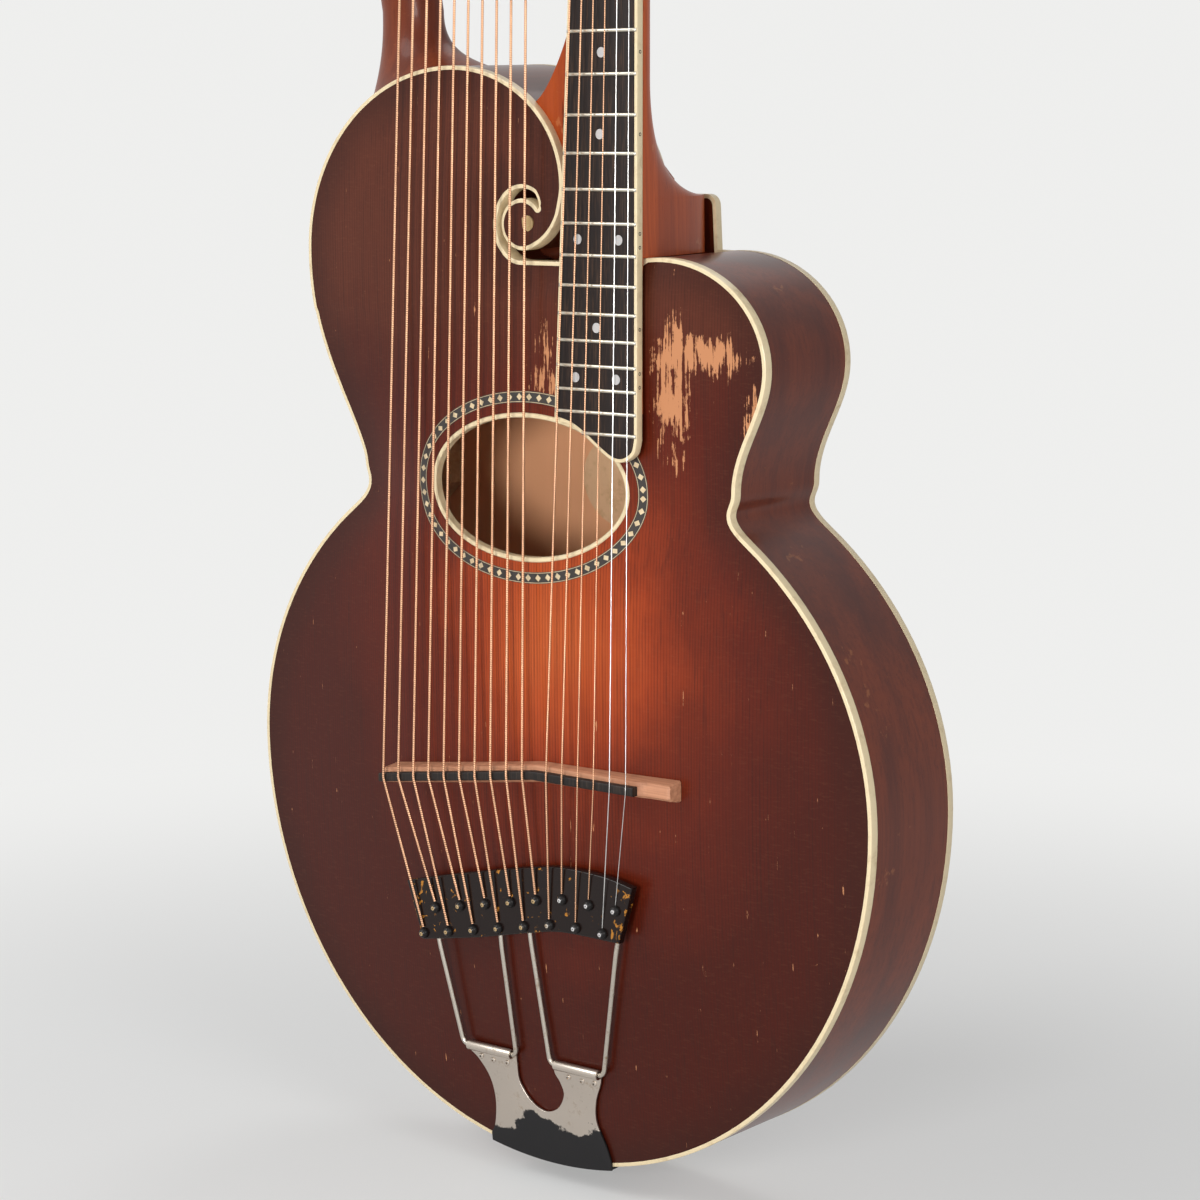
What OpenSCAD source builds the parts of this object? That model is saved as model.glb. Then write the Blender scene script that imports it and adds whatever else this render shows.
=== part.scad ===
// Harp guitar: carved top and back, horn with a scroll, ten sub-bass and six neck strings.
// Millimetres. x runs to the treble side, y up the neck, z out of the top; stand_up() turns it upright.

/* [Body outline] */
// Full width of the lower bout
lower_bout_width = 487; // [440:1:520]
// From the widest line of the lower bout down to the tail
tail_drop = 243; // [220:1:265]
// Upper half-axis of the lower bout
bout_rise = 210; // [190:1:230]
// Waist, from the centre line to the treble side
treble_waist = 148; // [130:1:160]
// Waist, from the centre line to the bass side
bass_waist = 146; // [130:1:160]
// Height of the waist above the widest line
waist_height = 188; // [180:1:205]
// Reach of the upper treble bout
treble_bout_reach = 171; // [160:1:190]
// Height of the upper treble bout's widest point
treble_bout_height = 261; // [250:1:275]
// Reach of the upper bass bout
bass_bout_reach = 191; // [175:1:210]
// Height of the upper bass bout's widest point
bass_bout_height = 320; // [305:1:335]
// Height of the top of the horn
horn_top = 436; // [425:1:450]
// Offset of the horn's top to the bass side
horn_offset = 66; // [55:1:78]
// Right-hand reach of the horn at the top plate
horn_reach = 22; // [18:0.5:25]
// Right-hand reach of the horn at the back plate
horn_back_reach = 37; // [32:0.5:37.5]

/* [Body shell] */
// Depth of the body between its two edges
body_depth = 84; // [70:1:100]
// Thickness of the carved plates
plate_thickness = 5; // [4:0.5:6]
// Rise of the top's arch at the bridge
top_arch = 18; // [14:0.5:22]
// Rise of the top's arch in the horn
horn_arch = 9; // [6:0.5:10]
// Rise of the back's arch
back_arch = 16; // [12:0.5:22]
// Thickness of the ribs
rib_thickness = 3; // [2.5:0.25:4]
// Width of the linings
lining_width = 7; // [5:0.5:10]
// Height of the linings
lining_height = 12; // [8:0.5:16]
// Width of the edge binding
binding_width = 3; // [2:0.25:4]
// Height of the edge binding
binding_height = 6; // [5:0.25:9]
// Width of the braces
brace_width = 9; // [6:0.5:12]
// Height of the braces
brace_height = 13; // [8:0.5:18]

/* [Scroll] */
// Radius of the scroll's curl
curl_radius = 16.4; // [14:0.2:18]
// Height of the scroll's centre
curl_height = 342; // [336:1:346]
// Widest gap of the slot round the curl
slot_gap = 6; // [5:0.25:7]
// Depth of the slot below the edge
slot_depth = 26; // [16:1:40]
// Diameter of the inlaid scroll button
scroll_button = 9.5; // [7:0.5:12]

/* [Sound hole] */
// Height of the sound hole's centre
hole_height = 184; // [178:1:188]
// Half width of the sound hole
hole_half_width = 73; // [66:1:78]
// Half height of the sound hole
hole_half_height = 42; // [36:1:46]
// Width of the sound hole's binding
hole_binding = 3; // [2:0.25:4]
// Plain wood between the binding and the rosette
rosette_gap = 6; // [4:0.5:8]
// Width of the rosette
rosette_width = 7; // [5:0.5:9]

/* [Neck] */
// Scale length of the neck strings
scale_length = 628.6; // [610:0.1:650]
// Offset of the neck's axis to the treble side
neck_offset = 57; // [50:0.5:62]
// Height of the twelfth fret above the widest line
fret12_height = 324.5; // [318:0.5:330]
// Fingerboard width at the twelfth fret
board_width = 59; // [56:0.5:62]
// Fingerboard width at the nut
nut_width = 45.5; // [42:0.5:48]
// Fingerboard surface above the edge plane at the twelfth fret
board_rise = 10.9; // [10:0.1:14]
// Angle at which the neck is set back
neck_set = 2.94; // [2:0.02:3.5]
// Fingerboard thickness
board_thickness = 5.5; // [5:0.25:6]
// Depth of the neck's back below the fingerboard
neck_depth = 16; // [14:0.5:18]
// Width of the heel at the back plate
heel_width = 38; // [32:1:42]
// Height of the heel's top at the back plate
heel_top = 357; // [352:1:362]
// Width of the fingerboard's binding
board_binding = 2; // [1.5:0.25:3]
// Height of the frets
fret_height = 1.1; // [0.8:0.1:1.5]
// Width of the frets
fret_width = 2.2; // [1.8:0.1:2.8]
// Diameter of the fret dots
dot_diameter = 6; // [4:0.5:8]

/* [Heads] */
// Angle at which the heads lean back
head_tilt = 13; // [10:0.5:16]
// Thickness of the head board
head_thickness = 15; // [13:0.5:17]
// Length of the neck strings' head
head_length = 200; // [198:1:215]
// Width of the neck strings' head
head_width = 76; // [74:1:84]
// Upper edge of the sub-bass head, from the nut line
harp_head_top = 72; // [70:1:74]
// Distance from the nut line to the sub-bass posts
bass_post_line = 56; // [54:1:58]
// Spacing of the sub-bass posts
bass_post_pitch = 14.4; // [14:0.1:14.8]
// Left end of the sub-bass head
harp_head_end = 156; // [152:1:162]
// Thickness of both nuts
nut_thickness = 5; // [4:0.5:6]

/* [Arm] */
// Distance of the arm's axis to the bass side at its top
arm_offset = 134; // [130:1:137]
// Width of the arm
arm_width = 42; // [36:1:44]
// Depth of the arm
arm_depth = 32; // [28:1:36]

/* [Tuners] */
// Radius of the string posts
post_radius = 3; // [2.6:0.1:3.2]
// Running clearance of posts and worm shafts
run_clearance = 0.05; // [0.03:0.01:0.08]
// Teeth of each worm wheel
wheel_teeth = 12; // [12:1:12]
// Pitch of the worm
worm_pitch = 2.2; // [2.1:0.05:2.3]
// Crest radius of the worm
worm_crest = 2.3; // [2.2:0.05:2.4]
// Radius of the worm shafts
shaft_radius = 1.2; // [1:0.1:1.3]
// Width of the tuner buttons
button_width = 12.6; // [11:0.2:13]
// Thickness of the tuner plates
tuner_plate = 1.2; // [1:0.1:1.6]

/* [Strings and bridge] */
// String height over the twelfth fret
action = 3; // [2.6:0.1:3.5]
// Spread of the neck strings at the saddle
saddle_spread = 61.5; // [56:0.5:63]
// Spread of the neck strings at the nut
nut_spread = 38; // [35:0.5:39]
// Spacing of the sub-bass strings at the saddle
bass_spacing = 12.9; // [12:0.1:13.2]
// Spacing of the sub-bass strings at their nut
bass_nut_spacing = 10.7; // [10:0.1:11]
// Saddle place of the sub-bass string nearest the neck
bass_last_x = 7.3; // [5:0.1:9]
// Slope of the sub-bass side of the bridge
bridge_slope = 7.8; // [5:0.1:9]
// Thickness of the saddle strip
saddle_width = 5.5; // [4.5:0.25:7]
// Height of the saddle strip
saddle_height = 4.5; // [3.5:0.25:6]
// Width of the bridge base on the top
bridge_width = 12; // [10:0.5:15]

/* [Tailpiece] */
// Thickness of the pin block
block_thickness = 6; // [5:0.25:7]
// Lower surface of the pin block above the edge plane
block_rise = 19.5; // [19.25:0.25:21]
// Diameter of the two wire loops
rod_diameter = 3.2; // [2.5:0.1:3.6]
// Thickness of the hanger plate
hanger_thickness = 1.6; // [1.2:0.1:2.2]
// Height of the hanger's hinge line above the tail
hinge_height = 66; // [62:0.5:70]
// Diameter of the end pin's neck
pin_diameter = 7; // [6:0.5:9]

/* [Hidden] */
$fn = 32;

// Colours of the finishes
mahogany = [0.34, 0.13, 0.07];
sunburst = [0.45, 0.16, 0.06];
spruce = [0.80, 0.64, 0.42];
ivoroid = [0.93, 0.86, 0.70];
ebony = [0.06, 0.05, 0.05];
nickel = [0.72, 0.70, 0.66];
bronze = [0.78, 0.50, 0.30];

// Small fits
seat = 0.05;       // glued faces that lie side by side
play = 0.3;        // between pieces of different bodies
eps = 0.01;

// Heights, with the front edge plane at zero
back_edge = -body_depth;
front_inside = -plate_thickness;
back_inside = -body_depth + plate_thickness;
back_floor = -body_depth + binding_height + seat;   // where blocks and heel stand, over the back binding

// Plane vectors and easing
function along(p, q, t) = p + (q - p) * t;
function ease(t) = t * t * (3 - 2 * t);
function clamp(v, low, high) = min(max(v, low), high);
function tail_of(list, first = 1) = [for (i = [first:len(list) - 1]) list[i]];
function flip_list(list) = [for (i = [len(list) - 1:-1:0]) list[i]];

// n + 1 points on an ellipse about c with half-axes h
function arc(c, h, from, to, n) =
    [for (i = [0:n]) let (t = from + (to - from) * i / n) c + [h.x * cos(t), h.y * sin(t)]];
// n + 1 points of a cubic that leaves p along u and reaches q along v
function bend(p, u, q, v, n) =
    [for (i = [0:n]) let (t = i / n)
        p * (1 + 2 * t) * pow(1 - t, 2) + u * t * pow(1 - t, 2)
        + q * (3 - 2 * t) * t * t - v * (1 - t) * t * t];
// A smooth curve through chosen points, with n steps to each stretch
function through(k, n) = [
    for (i = [0:len(k) - 2], s = [0:n - 1])
        let (a = k[max(i - 1, 0)], b = k[i], c = k[i + 1], d = k[min(i + 2, len(k) - 1)], t = s / n)
        (b * 2 + (c - a) * t + (a * 2 - b * 5 + c * 4 - d) * t * t
            + (b * 3 - a - c * 3 + d) * pow(t, 3)) / 2,
    k[len(k) - 1]];
// A closed path moved inwards by d, with mitred corners; the path runs anticlockwise
function inset(path, d) = let (n = len(path)) [
    for (i = [0:n - 1])
        let (a = path[(i + n - 1) % n], b = path[i], c = path[(i + 1) % n],
             u = (b - a) / norm(b - a), v = (c - b) / norm(c - b),
             m = [-u.y - v.y, u.x + v.x], k = max(m * m / 2, 0.5))
        b + m * d / k];

// Body outline, as stations from the tail to the top of the horn on each side
lower_half = [lower_bout_width / 2, tail_drop];
upper_half = [lower_bout_width / 2, bout_rise];
shoulder_angle = 50;
shoulder = [upper_half.x * cos(shoulder_angle), upper_half.y * sin(shoulder_angle)];
shoulder_run = [-upper_half.x * sin(shoulder_angle), upper_half.y * cos(shoulder_angle)] / 6;
waist_run = [0, 30];
treble_round = 75.5;       // half-width of the upper treble bout's curve
treble_centre = [treble_bout_reach - treble_round, treble_bout_height];
treble_half = [treble_round, fret12_height - treble_bout_height - 0.7];
bass_centre = [-horn_offset, bass_bout_height];
bass_half = [bass_bout_reach - horn_offset, horn_top - bass_bout_height];
// The horn's right edge begins above the scroll's centre, sooner at the back plate
horn_start = 23;
horn_back_start = 8;
horn_centre = [-horn_offset, curl_height + horn_start];
horn_half = [horn_offset + horn_reach, horn_top - horn_centre.y];
horn_back_centre = [-horn_offset, curl_height + horn_back_start];
horn_back_half = [horn_offset + horn_back_reach, horn_top - horn_back_centre.y];

// Distance of the fingerboard's edge from the neck's axis at height y
function board_half(y) =
    (board_width + (fret12_height - y) * 2 * (board_width - nut_width) / scale_length) / 2;
// Scroll: a curl about its centre, opening out to the horn's edge
curl_x = -7.5;
curl_centre = [curl_x, curl_height];
curl_start = 13;
curl_end = -322;
curl_open = -75;
function curl_r(t) = t > curl_open
    ? curl_radius + 11.2 * pow((t - curl_open) / (curl_start - curl_open), 2.2)
    : curl_radius - 2.1 * (t - curl_open) / (curl_end - curl_open);
// The slot round the curl is wide below and above, narrow at the side, and closes at its tip
function curl_gap(t) = slot_gap * (0.77 - 0.23 * cos(2 * t)) * min(1, pow((t - curl_end) / 25, 0.6));
joint_height = curl_height - curl_r(-90) - curl_gap(-90);
neck_right = neck_offset + board_half(fret12_height);
neck_left = neck_offset - board_half(fret12_height);
bout_end_angle = acos((neck_right - treble_centre.x) / treble_half.x);

// A flank eases from the waist out to the bout; late bends it later for numbers over 1
function flank(waist, bout, late, n) = [
    for (i = [0:n]) let (t = i / n)
        [waist.x + (bout.x - waist.x) * (1 - cos(180 * pow(t, late))) / 2,
         waist.y + (bout.y - waist.y) * t]];

treble_flank = flank([treble_waist, waist_height], treble_centre + [treble_half.x, 0], 1, 7);
bass_flank = flank([-bass_waist, waist_height + 2], bass_centre - [bass_half.x, 0], 0.7, 12);
lower_right = arc([0, 0], lower_half, -90, 0, 9);
lower_left = arc([0, 0], lower_half, -90, -180, 9);

right_to_neck = concat(
    lower_right,
    tail_of(arc([0, 0], upper_half, 0, shoulder_angle, 5)),
    tail_of(bend(shoulder, shoulder_run * 2, treble_flank[0], waist_run, 3)),
    tail_of(treble_flank),
    tail_of(arc(treble_centre, treble_half, 0, bout_end_angle, 6)));
left_side = concat(
    lower_left,
    tail_of(arc([0, 0], upper_half, 180, 180 - shoulder_angle, 5)),
    tail_of(bend([-shoulder.x, shoulder.y], [-shoulder_run.x, shoulder_run.y] * 2,
        bass_flank[0], waist_run, 3)),
    tail_of(bass_flank),
    tail_of(arc(bass_centre, bass_half, 180, 90, 14)));

// Front: past the neck joint, up the horn's right edge and over its top
foot_ledge = 9;            // top plate left of the fingerboard at the joint
scroll_foot = [neck_left - foot_ledge, joint_height];
horn_edge = [horn_centre.x + horn_half.x, horn_centre.y];
horn_lip = curl_centre + curl_r(curl_start) * [cos(curl_start), sin(curl_start)];
front_right = concat(
    right_to_neck,
    [along(last(right_to_neck), scroll_foot, 0.5), scroll_foot,
     along(scroll_foot, horn_lip, 0.5), horn_lip, along(horn_lip, horn_edge, 0.5) + [0.7, 0]],
    arc(horn_centre, horn_half, 0, 90, 7));
// Back: round the foot of the heel and into the horn, with no scroll
heel_left = neck_offset - heel_width / 2;
heel_right = neck_offset + heel_width / 2;
heel_corner = 7;
back_right = concat(
    right_to_neck,
    [[heel_right + 1, joint_height + 4]],
    arc([heel_right - heel_corner, heel_top - heel_corner], [heel_corner, heel_corner], 0, 90, 2),
    [[heel_left + heel_corner, heel_top]],
    arc(horn_back_centre, horn_back_half, 3, 90, 7));
function last(list) = list[len(list) - 1];

function ring_path(right, left) =
    concat(right, [for (i = [len(left) - 2:-1:1]) left[i]]);
front_path = ring_path(front_right, left_side);
back_path = ring_path(back_right, left_side);

// Arch of the carved plates: the share of the way from the edge to the spine of the body
spine_top = [-64, 285];
arch_fall = 140;           // height where the arch begins to sink towards the horn
spine_low = len(lower_right) - 1;
spine_high = len(right_to_neck) - 1;
stations = len(left_side);
function spine_x(y) = spine_top.x * clamp(y / spine_top.y, 0, 1);
function spine_at(i) = spine_top * clamp((i - spine_low) / (spine_high - spine_low), 0, 1);
edge_table = [
    [for (i = [spine_low:spine_high]) [right_to_neck[i].y, right_to_neck[i].x]],
    [for (i = [spine_low:spine_high + 4]) [left_side[i].y, left_side[i].x]]];
function bearing(d) = atan2(d.y, d.x) < -90 ? atan2(d.y, d.x) + 360 : atan2(d.y, d.x);
function radial_table(right) = [
    for (p = concat([for (i = [spine_high - 8:spine_high]) right_to_neck[i]], right,
        [for (i = [stations - 15:stations - 2]) left_side[i]]))
        [bearing(p - spine_top), norm(p - spine_top)]];
horn_table = radial_table(arc(horn_centre, horn_half, 0, 90, 7));
function arch_share(p) =
    p.y <= 0 ? 1 - norm([p.x / lower_half.x, p.y / lower_half.y])
    : p.y < spine_top.y
    ? let (s = spine_x(p.y), e = lookup(p.y, edge_table[p.x < s ? 1 : 0])) 1 - (p.x - s) / (e - s)
    : let (d = p - spine_top) 1 - norm(d) / lookup(bearing(d), horn_table);
function arch_form(t) = pow(sin(90 * clamp(t, 0, 1)), 1.2);
function arch_rise(y, full, horn) =
    full + (horn - full) * ease(clamp((y - arch_fall) / (spine_top.y - arch_fall), 0, 1));
// Height of the top's surface, and of the back's
function top_z(p) = arch_rise(p.y, top_arch, horn_arch) * arch_form(arch_share(p));
function back_z(p) = back_edge - arch_rise(p.y, back_arch, horn_arch) * arch_form(arch_share(p));

// A carved plate: rings of the edge path drawn in to the spine, over and under
ring_shares = [0, 0.05, 0.14, 0.28, 0.46, 0.7];
function path_station(i) = i < stations ? i : 2 * (stations - 1) - i;
function spine_index(i) = clamp(path_station(i) - spine_low, 0, spine_high - spine_low);
spine_row = [for (i = [spine_low:spine_high]) spine_at(i)];
module carved_plate(path, upper, lower) {
    n = len(path);
    m = len(ring_shares);
    flat = concat(
        [for (t = ring_shares, i = [0:n - 1]) along(path[i], spine_at(path_station(i)), t)],
        spine_row);
    half = len(flat);
    points = concat([for (p = flat) [p.x, p.y, upper(p)]], [for (p = flat) [p.x, p.y, lower(p)]]);
    quads = [for (j = [0:m - 2], i = [0:n - 1])
        let (a = j * n + i, b = j * n + (i + 1) % n) [a, b, b + n, a + n]];
    fans = [for (i = [0:n - 1])
        let (k = (i + 1) % n, a = (m - 1) * n + i, b = (m - 1) * n + k,
             c = m * n + spine_index(k), d = m * n + spine_index(i))
        c == d ? [a, b, c] : [a, b, c, d]];
    over = [for (f = concat(quads, fans), k = [1:len(f) - 2]) [f[0], f[k + 1], f[k]]];
    under = [for (f = over) [f[0] + half, f[2] + half, f[1] + half]];
    rim = [for (i = [0:n - 1]) let (k = (i + 1) % n)
        each [[i, k, k + half], [i, k + half, i + half]]];
    polyhedron(points, concat(over, under, rim));
}
function plate_path(path) = inset(path, binding_width + seat);

// Outline areas in the plane
module front_area(d = 0) polygon(inset(front_path, d));
module back_area(d = 0) polygon(inset(back_path, d));
module hole_area(d = 0)
    polygon(arc([0, hole_height], [hole_half_width + d, hole_half_height + d], 0, 355, 71));
// The slot round the scroll, widened by d into the wood on both sides
curl_angles = [for (i = [0:40]) curl_start + (curl_end - curl_start) * i / 40];
module slot_area(d = 0) {
    lobe = [for (t = curl_angles) curl_centre + (curl_r(t) - d) * [cos(t), sin(t)]];
    wall = [for (t = flip_list(curl_angles)) if (t < -92)
        curl_centre + (curl_r(t) + curl_gap(t) + d) * [cos(t), sin(t)]];
    mouth = scroll_foot.x + 6;
    polygon(concat(lobe, wall, [[curl_centre.x, joint_height - d], [mouth, joint_height - d],
        [mouth, horn_lip.y + 1]]));
}
// A band along one side's stations, from an inset of a to an inset of b
function side_index(treble, i) = treble ? i : (len(front_path) - i) % len(front_path);
module side_band(treble, from, to, a, b) {
    outer = inset(front_path, a);
    inner = inset(front_path, b);
    index = [for (i = [from:to]) side_index(treble, i)];
    polygon(concat([for (i = index) outer[i]], [for (i = flip_list(index)) inner[i]]));
}

// Loft between closed rings of equal count, each a list of 3D points, anticlockwise from its end;
// fan closes the ends from their middles, for rings that aren't flat
function middle(ring) = [for (axis = [0:2]) sum([for (p = ring) p[axis]]) / len(ring)];
function sum(list, i = 0) = i >= len(list) ? 0 : list[i] + sum(list, i + 1);
module loft(rings, fan = false) {
    n = len(rings[0]);
    m = len(rings);
    points = concat([for (r = rings, p = r) p],
        fan ? [middle(rings[0]), middle(rings[m - 1])] : []);
    sides = [for (j = [0:m - 2], i = [0:n - 1])
        let (a = j * n + i, b = j * n + (i + 1) % n) each [[a, b + n, b], [a, a + n, b + n]]];
    far = (m - 1) * n;
    ends = fan
        ? [for (i = [0:n - 1]) let (k = (i + 1) % n) each [[i, k, m * n], [far + k, far + i, m * n + 1]]]
        : [[for (i = [0:n - 1]) i], [for (i = [n - 1:-1:0]) far + i]];
    polyhedron(points, concat(sides, ends));
}

/* Body */
module top_plate() color(sunburst) difference() {
    carved_plate(plate_path(front_path), function(p) top_z(p), function(p) top_z(p) - plate_thickness);
    translate([0, 0, -body_depth]) linear_extrude(2 * body_depth) hole_area(hole_binding + seat);
    translate([0, 0, -body_depth]) linear_extrude(2 * body_depth) slot_area(binding_width + seat);
}
module back_plate() color(mahogany)
    carved_plate(plate_path(back_path), function(p) back_z(p) + plate_thickness, function(p) back_z(p));
module ribs() color(mahogany) difference() {
    translate([0, 0, back_edge + binding_height]) linear_extrude(body_depth - 2 * binding_height) {
        side_band(true, 0, spine_high, 0, rib_thickness);
        side_band(false, 0, stations - 1, 0, rib_thickness);
    }
    end_hole();
}
module lining_pair() {
    near = rib_thickness + seat;
    far = near + lining_width;
    side_band(true, 1, spine_high - 1, near, far);
    side_band(false, 1, stations - 2, near, far);
}
module linings() color(spruce) {
    translate([0, 0, front_inside - lining_height - seat]) linear_extrude(lining_height) lining_pair();
    translate([0, 0, back_inside + seat]) linear_extrude(lining_height) lining_pair();
}
// A brace across the body at height y, glued under the top or on the back, clear over its whole width
brace_reach = 26;
brace_gap = 0.45;
function under_top(x, y) = min([for (d = [-0.5:0.25:0.5]) top_z([x, y + d * brace_width])])
    - plate_thickness - brace_gap;
function over_back(x, y) = max([for (d = [-0.5:0.25:0.5]) back_z([x, y + d * brace_width])])
    + plate_thickness + brace_gap;
function wall_x(y, side) = lookup(y, edge_table[side]);
module brace(y, front) {
    low = wall_x(y, 1) + brace_reach;
    high = wall_x(y, 0) - brace_reach;
    steps = 10;
    face = [for (i = [0:steps]) let (x = low + (high - low) * i / steps)
        [x, front ? under_top(x, y) : over_back(x, y)]];
    flat = front ? face[0].y - 4 : face[0].y + 4;
    thick = front ? -brace_height : brace_height;
    back = [for (i = [steps:-1:0]) [face[i].x, face[i].y + thick]];
    translate([0, y + brace_width / 2, 0]) rotate([90, 0, 0]) linear_extrude(brace_width)
        polygon(concat(face, back));
}
module braces() color(spruce) {
    brace(hole_height - hole_half_height - rosette_gap - rosette_width - 2 * brace_width, true);
    brace(bass_bout_height - 50, true);
    for (y = [-0.29 * tail_drop, 0.29 * bout_rise, bass_bout_height - 70]) brace(y, false);
}

// The block at the scroll and the neck joint; its outer wall runs from the front edge to the back edge
lip_station = spine_high + 4;
block_foot = [-38, joint_height - 14];
function wall_at(i, s, gap = 0) = along(front_right[i],
    i < lip_station + 2 ? front_right[i] : back_right[i], s) + [gap, gap / 2];
wall_stations = concat([spine_high, spine_high + 2], [for (i = [lip_station:stations - 1]) i]);
block_front = front_inside - seat - 1;
module neck_block() color(mahogany) difference() {
    inside = concat(
        [[neck_right, block_foot.y], [10, block_foot.y], block_foot, [block_foot.x, curl_height],
         [block_foot.x, curl_height + 26]],
        [for (i = [lip_station + 3:stations - 1]) along(front_right[i], spine_top, 0.13)]);
    front = block_front;
    back = back_floor;
    loft([for (j = [0:len(wall_stations) - 1]) let (
        p = inside[j], q = wall_at(wall_stations[j], 0), r = wall_at(wall_stations[j], 1))
        [[q.x, q.y, front], [r.x, r.y, back], [p.x, p.y, back], [p.x, p.y, front]]]);
    translate([0, 0, -slot_depth]) linear_extrude(slot_depth) slot_area();
}
tail_block_width = 78;
tail_block_depth = 26;
module tail_block() color(spruce) difference() {
    height = body_depth - 2 * plate_thickness - 2 * seat;
    bottom = -tail_drop + rib_thickness + seat;
    translate([0, 0, back_inside + seat]) linear_extrude(height) intersection() {
        front_area(rib_thickness + seat);
        translate([-tail_block_width / 2, bottom]) square([tail_block_width, tail_block_depth]);
    }
    end_hole();
}
neck_clear = 12;           // no binding under the neck, for this far above the joint
module slot_edges() {
    difference() {
        intersection() {
            front_area();
            slot_area(binding_width);
        }
        slot_area();
    }
}
// The edge's binding is flat; along the slot it rises with the carved surface
module top_binding() color(ivoroid) {
    translate([0, 0, -binding_height]) linear_extrude(binding_height) difference() {
        union() {
            difference() {
                front_area();
                front_area(binding_width);
            }
            slot_edges();
        }
        slot_area();
        translate([neck_left, joint_height - 1]) square([neck_right - neck_left, neck_clear]);
    }
    intersection() {
        carved_plate(front_path, function(p) top_z(p), function(p) -binding_height);
        translate([0, 0, -body_depth]) linear_extrude(2 * body_depth) difference() {
            slot_edges();
            translate([neck_left, joint_height - 1]) square([neck_right - neck_left, neck_clear]);
        }
    }
}
module back_binding() color(ivoroid) translate([0, 0, back_edge]) linear_extrude(binding_height - seat)
    difference() {
        back_area();
        back_area(binding_width);
    }
// A ring that follows the top's arch round the sound hole
module hole_ring(near, far, rise, sink) {
    n = 64;
    edge = function(d, h) [for (i = [0:n - 1])
        let (p = [(hole_half_width + d) * cos(360 * i / n),
                  hole_height + (hole_half_height + d) * sin(360 * i / n)])
        [p.x, p.y, top_z(p) + h]];
    points = concat(edge(near, rise), edge(far, rise), edge(far, -sink), edge(near, -sink));
    polyhedron(points, [for (j = [0:3], i = [0:n - 1])
        let (k = (i + 1) % n, a = j * n, b = ((j + 1) % 4) * n)
        each [[a + i, a + k, b + k], [a + i, b + k, b + i]]]);
}
module soundhole_binding() color(ivoroid) hole_ring(0, hole_binding, 0.2, plate_thickness + 0.2);
module rosette() color(ebony)
    hole_ring(hole_binding + rosette_gap, hole_binding + rosette_gap + rosette_width, 0.1, 1.2);

/* Neck */
nut_reach = scale_length / 2;
module on_board() translate([neck_offset, fret12_height, board_rise]) rotate([-neck_set, 0, 0]) children();
// Height of the fingerboard's surface, and place of fret n from the twelfth, along the board
function board_z(y) = board_rise + (fret12_height - y) * tan(neck_set);
function fret_at(n) = scale_length * (pow(2, -n / 12) - 0.5);
function half_at(y) = board_half(fret12_height + y);
last_fret = 19;
board_tip = fret_at(last_fret) - 15.5;
end_curve = through([
    [-half_at(-97), fret_at(last_fret) + 7], [-19, board_tip + 19.5], [-7, board_tip + 13],
    [5, board_tip + 5], [14, board_tip + 0.4], [22, board_tip + 0.2], [29.5, board_tip + 5],
    [half_at(-106), board_tip + 13]], 3);
board_path = concat([[-half_at(nut_reach), nut_reach + board_binding]], end_curve,
    [[half_at(nut_reach), nut_reach + board_binding]]);
module board_area(d = 0) intersection() {
    polygon(inset(board_path, d));
    translate([-board_width, -scale_length]) square([2 * board_width, scale_length + nut_reach - seat]);
}
module fingerboard() color(ebony) on_board() translate([0, 0, -board_thickness])
    linear_extrude(board_thickness) board_area(board_binding + seat);
module fingerboard_binding() color(ivoroid) on_board() translate([0, 0, -board_thickness])
    linear_extrude(board_thickness) difference() {
        board_area();
        board_area(board_binding);
    }
module frets() color(nickel) on_board() translate([0, 0, seat]) linear_extrude(fret_height) intersection() {
    board_area(0.6);
    for (n = [1:last_fret])
        translate([-board_width, fret_at(n) - fret_width / 2]) square([2 * board_width, fret_width]);
}
// Dots between frets n - 1 and n
function between(n) = (fret_at(n) + fret_at(n - 1)) / 2;
dot_spread = 15.5;
inlay_height = 0.15;
module dot(x, y) translate([x, y, seat]) cylinder(d = dot_diameter, h = inlay_height);
module inlays() color("white") {
    on_board() {
        for (n = [5, 7, 9, 15]) dot(0, between(n));
        for (n = [12, 17], side = [-1, 1]) dot(side * dot_spread, between(n));
    }
    translate([curl_centre.x + 4, curl_centre.y, top_z(curl_centre + [4, 0]) - 2])
        cylinder(d = scroll_button, h = 2.5);
}

// Neck: rounded sections from the nut to the heel, each in a plane across the neck
heel_start = heel_top + 70;
function joint_y(x) = along(scroll_foot, last(right_to_neck),
    (x - scroll_foot.x) / (last(right_to_neck).x - scroll_foot.x)).y;
function cove(y) = let (u = clamp((heel_start - y) / (heel_start - heel_top), 0, 1))
    1 - sqrt(1 - u * u * 0.998);
function neck_bottom(y) = let (top = board_z(y) - board_thickness,
    shaft = neck_depth + 3 * (nut_reach + fret12_height - y) / nut_reach,
    step = neck_depth + board_thickness - 3 - head_thickness * cos(head_tilt))
    max(back_floor, top - shaft - (top - shaft - back_inside) * cove(y))
        + step * clamp(1 - (head_y - y) / 12, 0, 1);
section_steps = 12;
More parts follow.
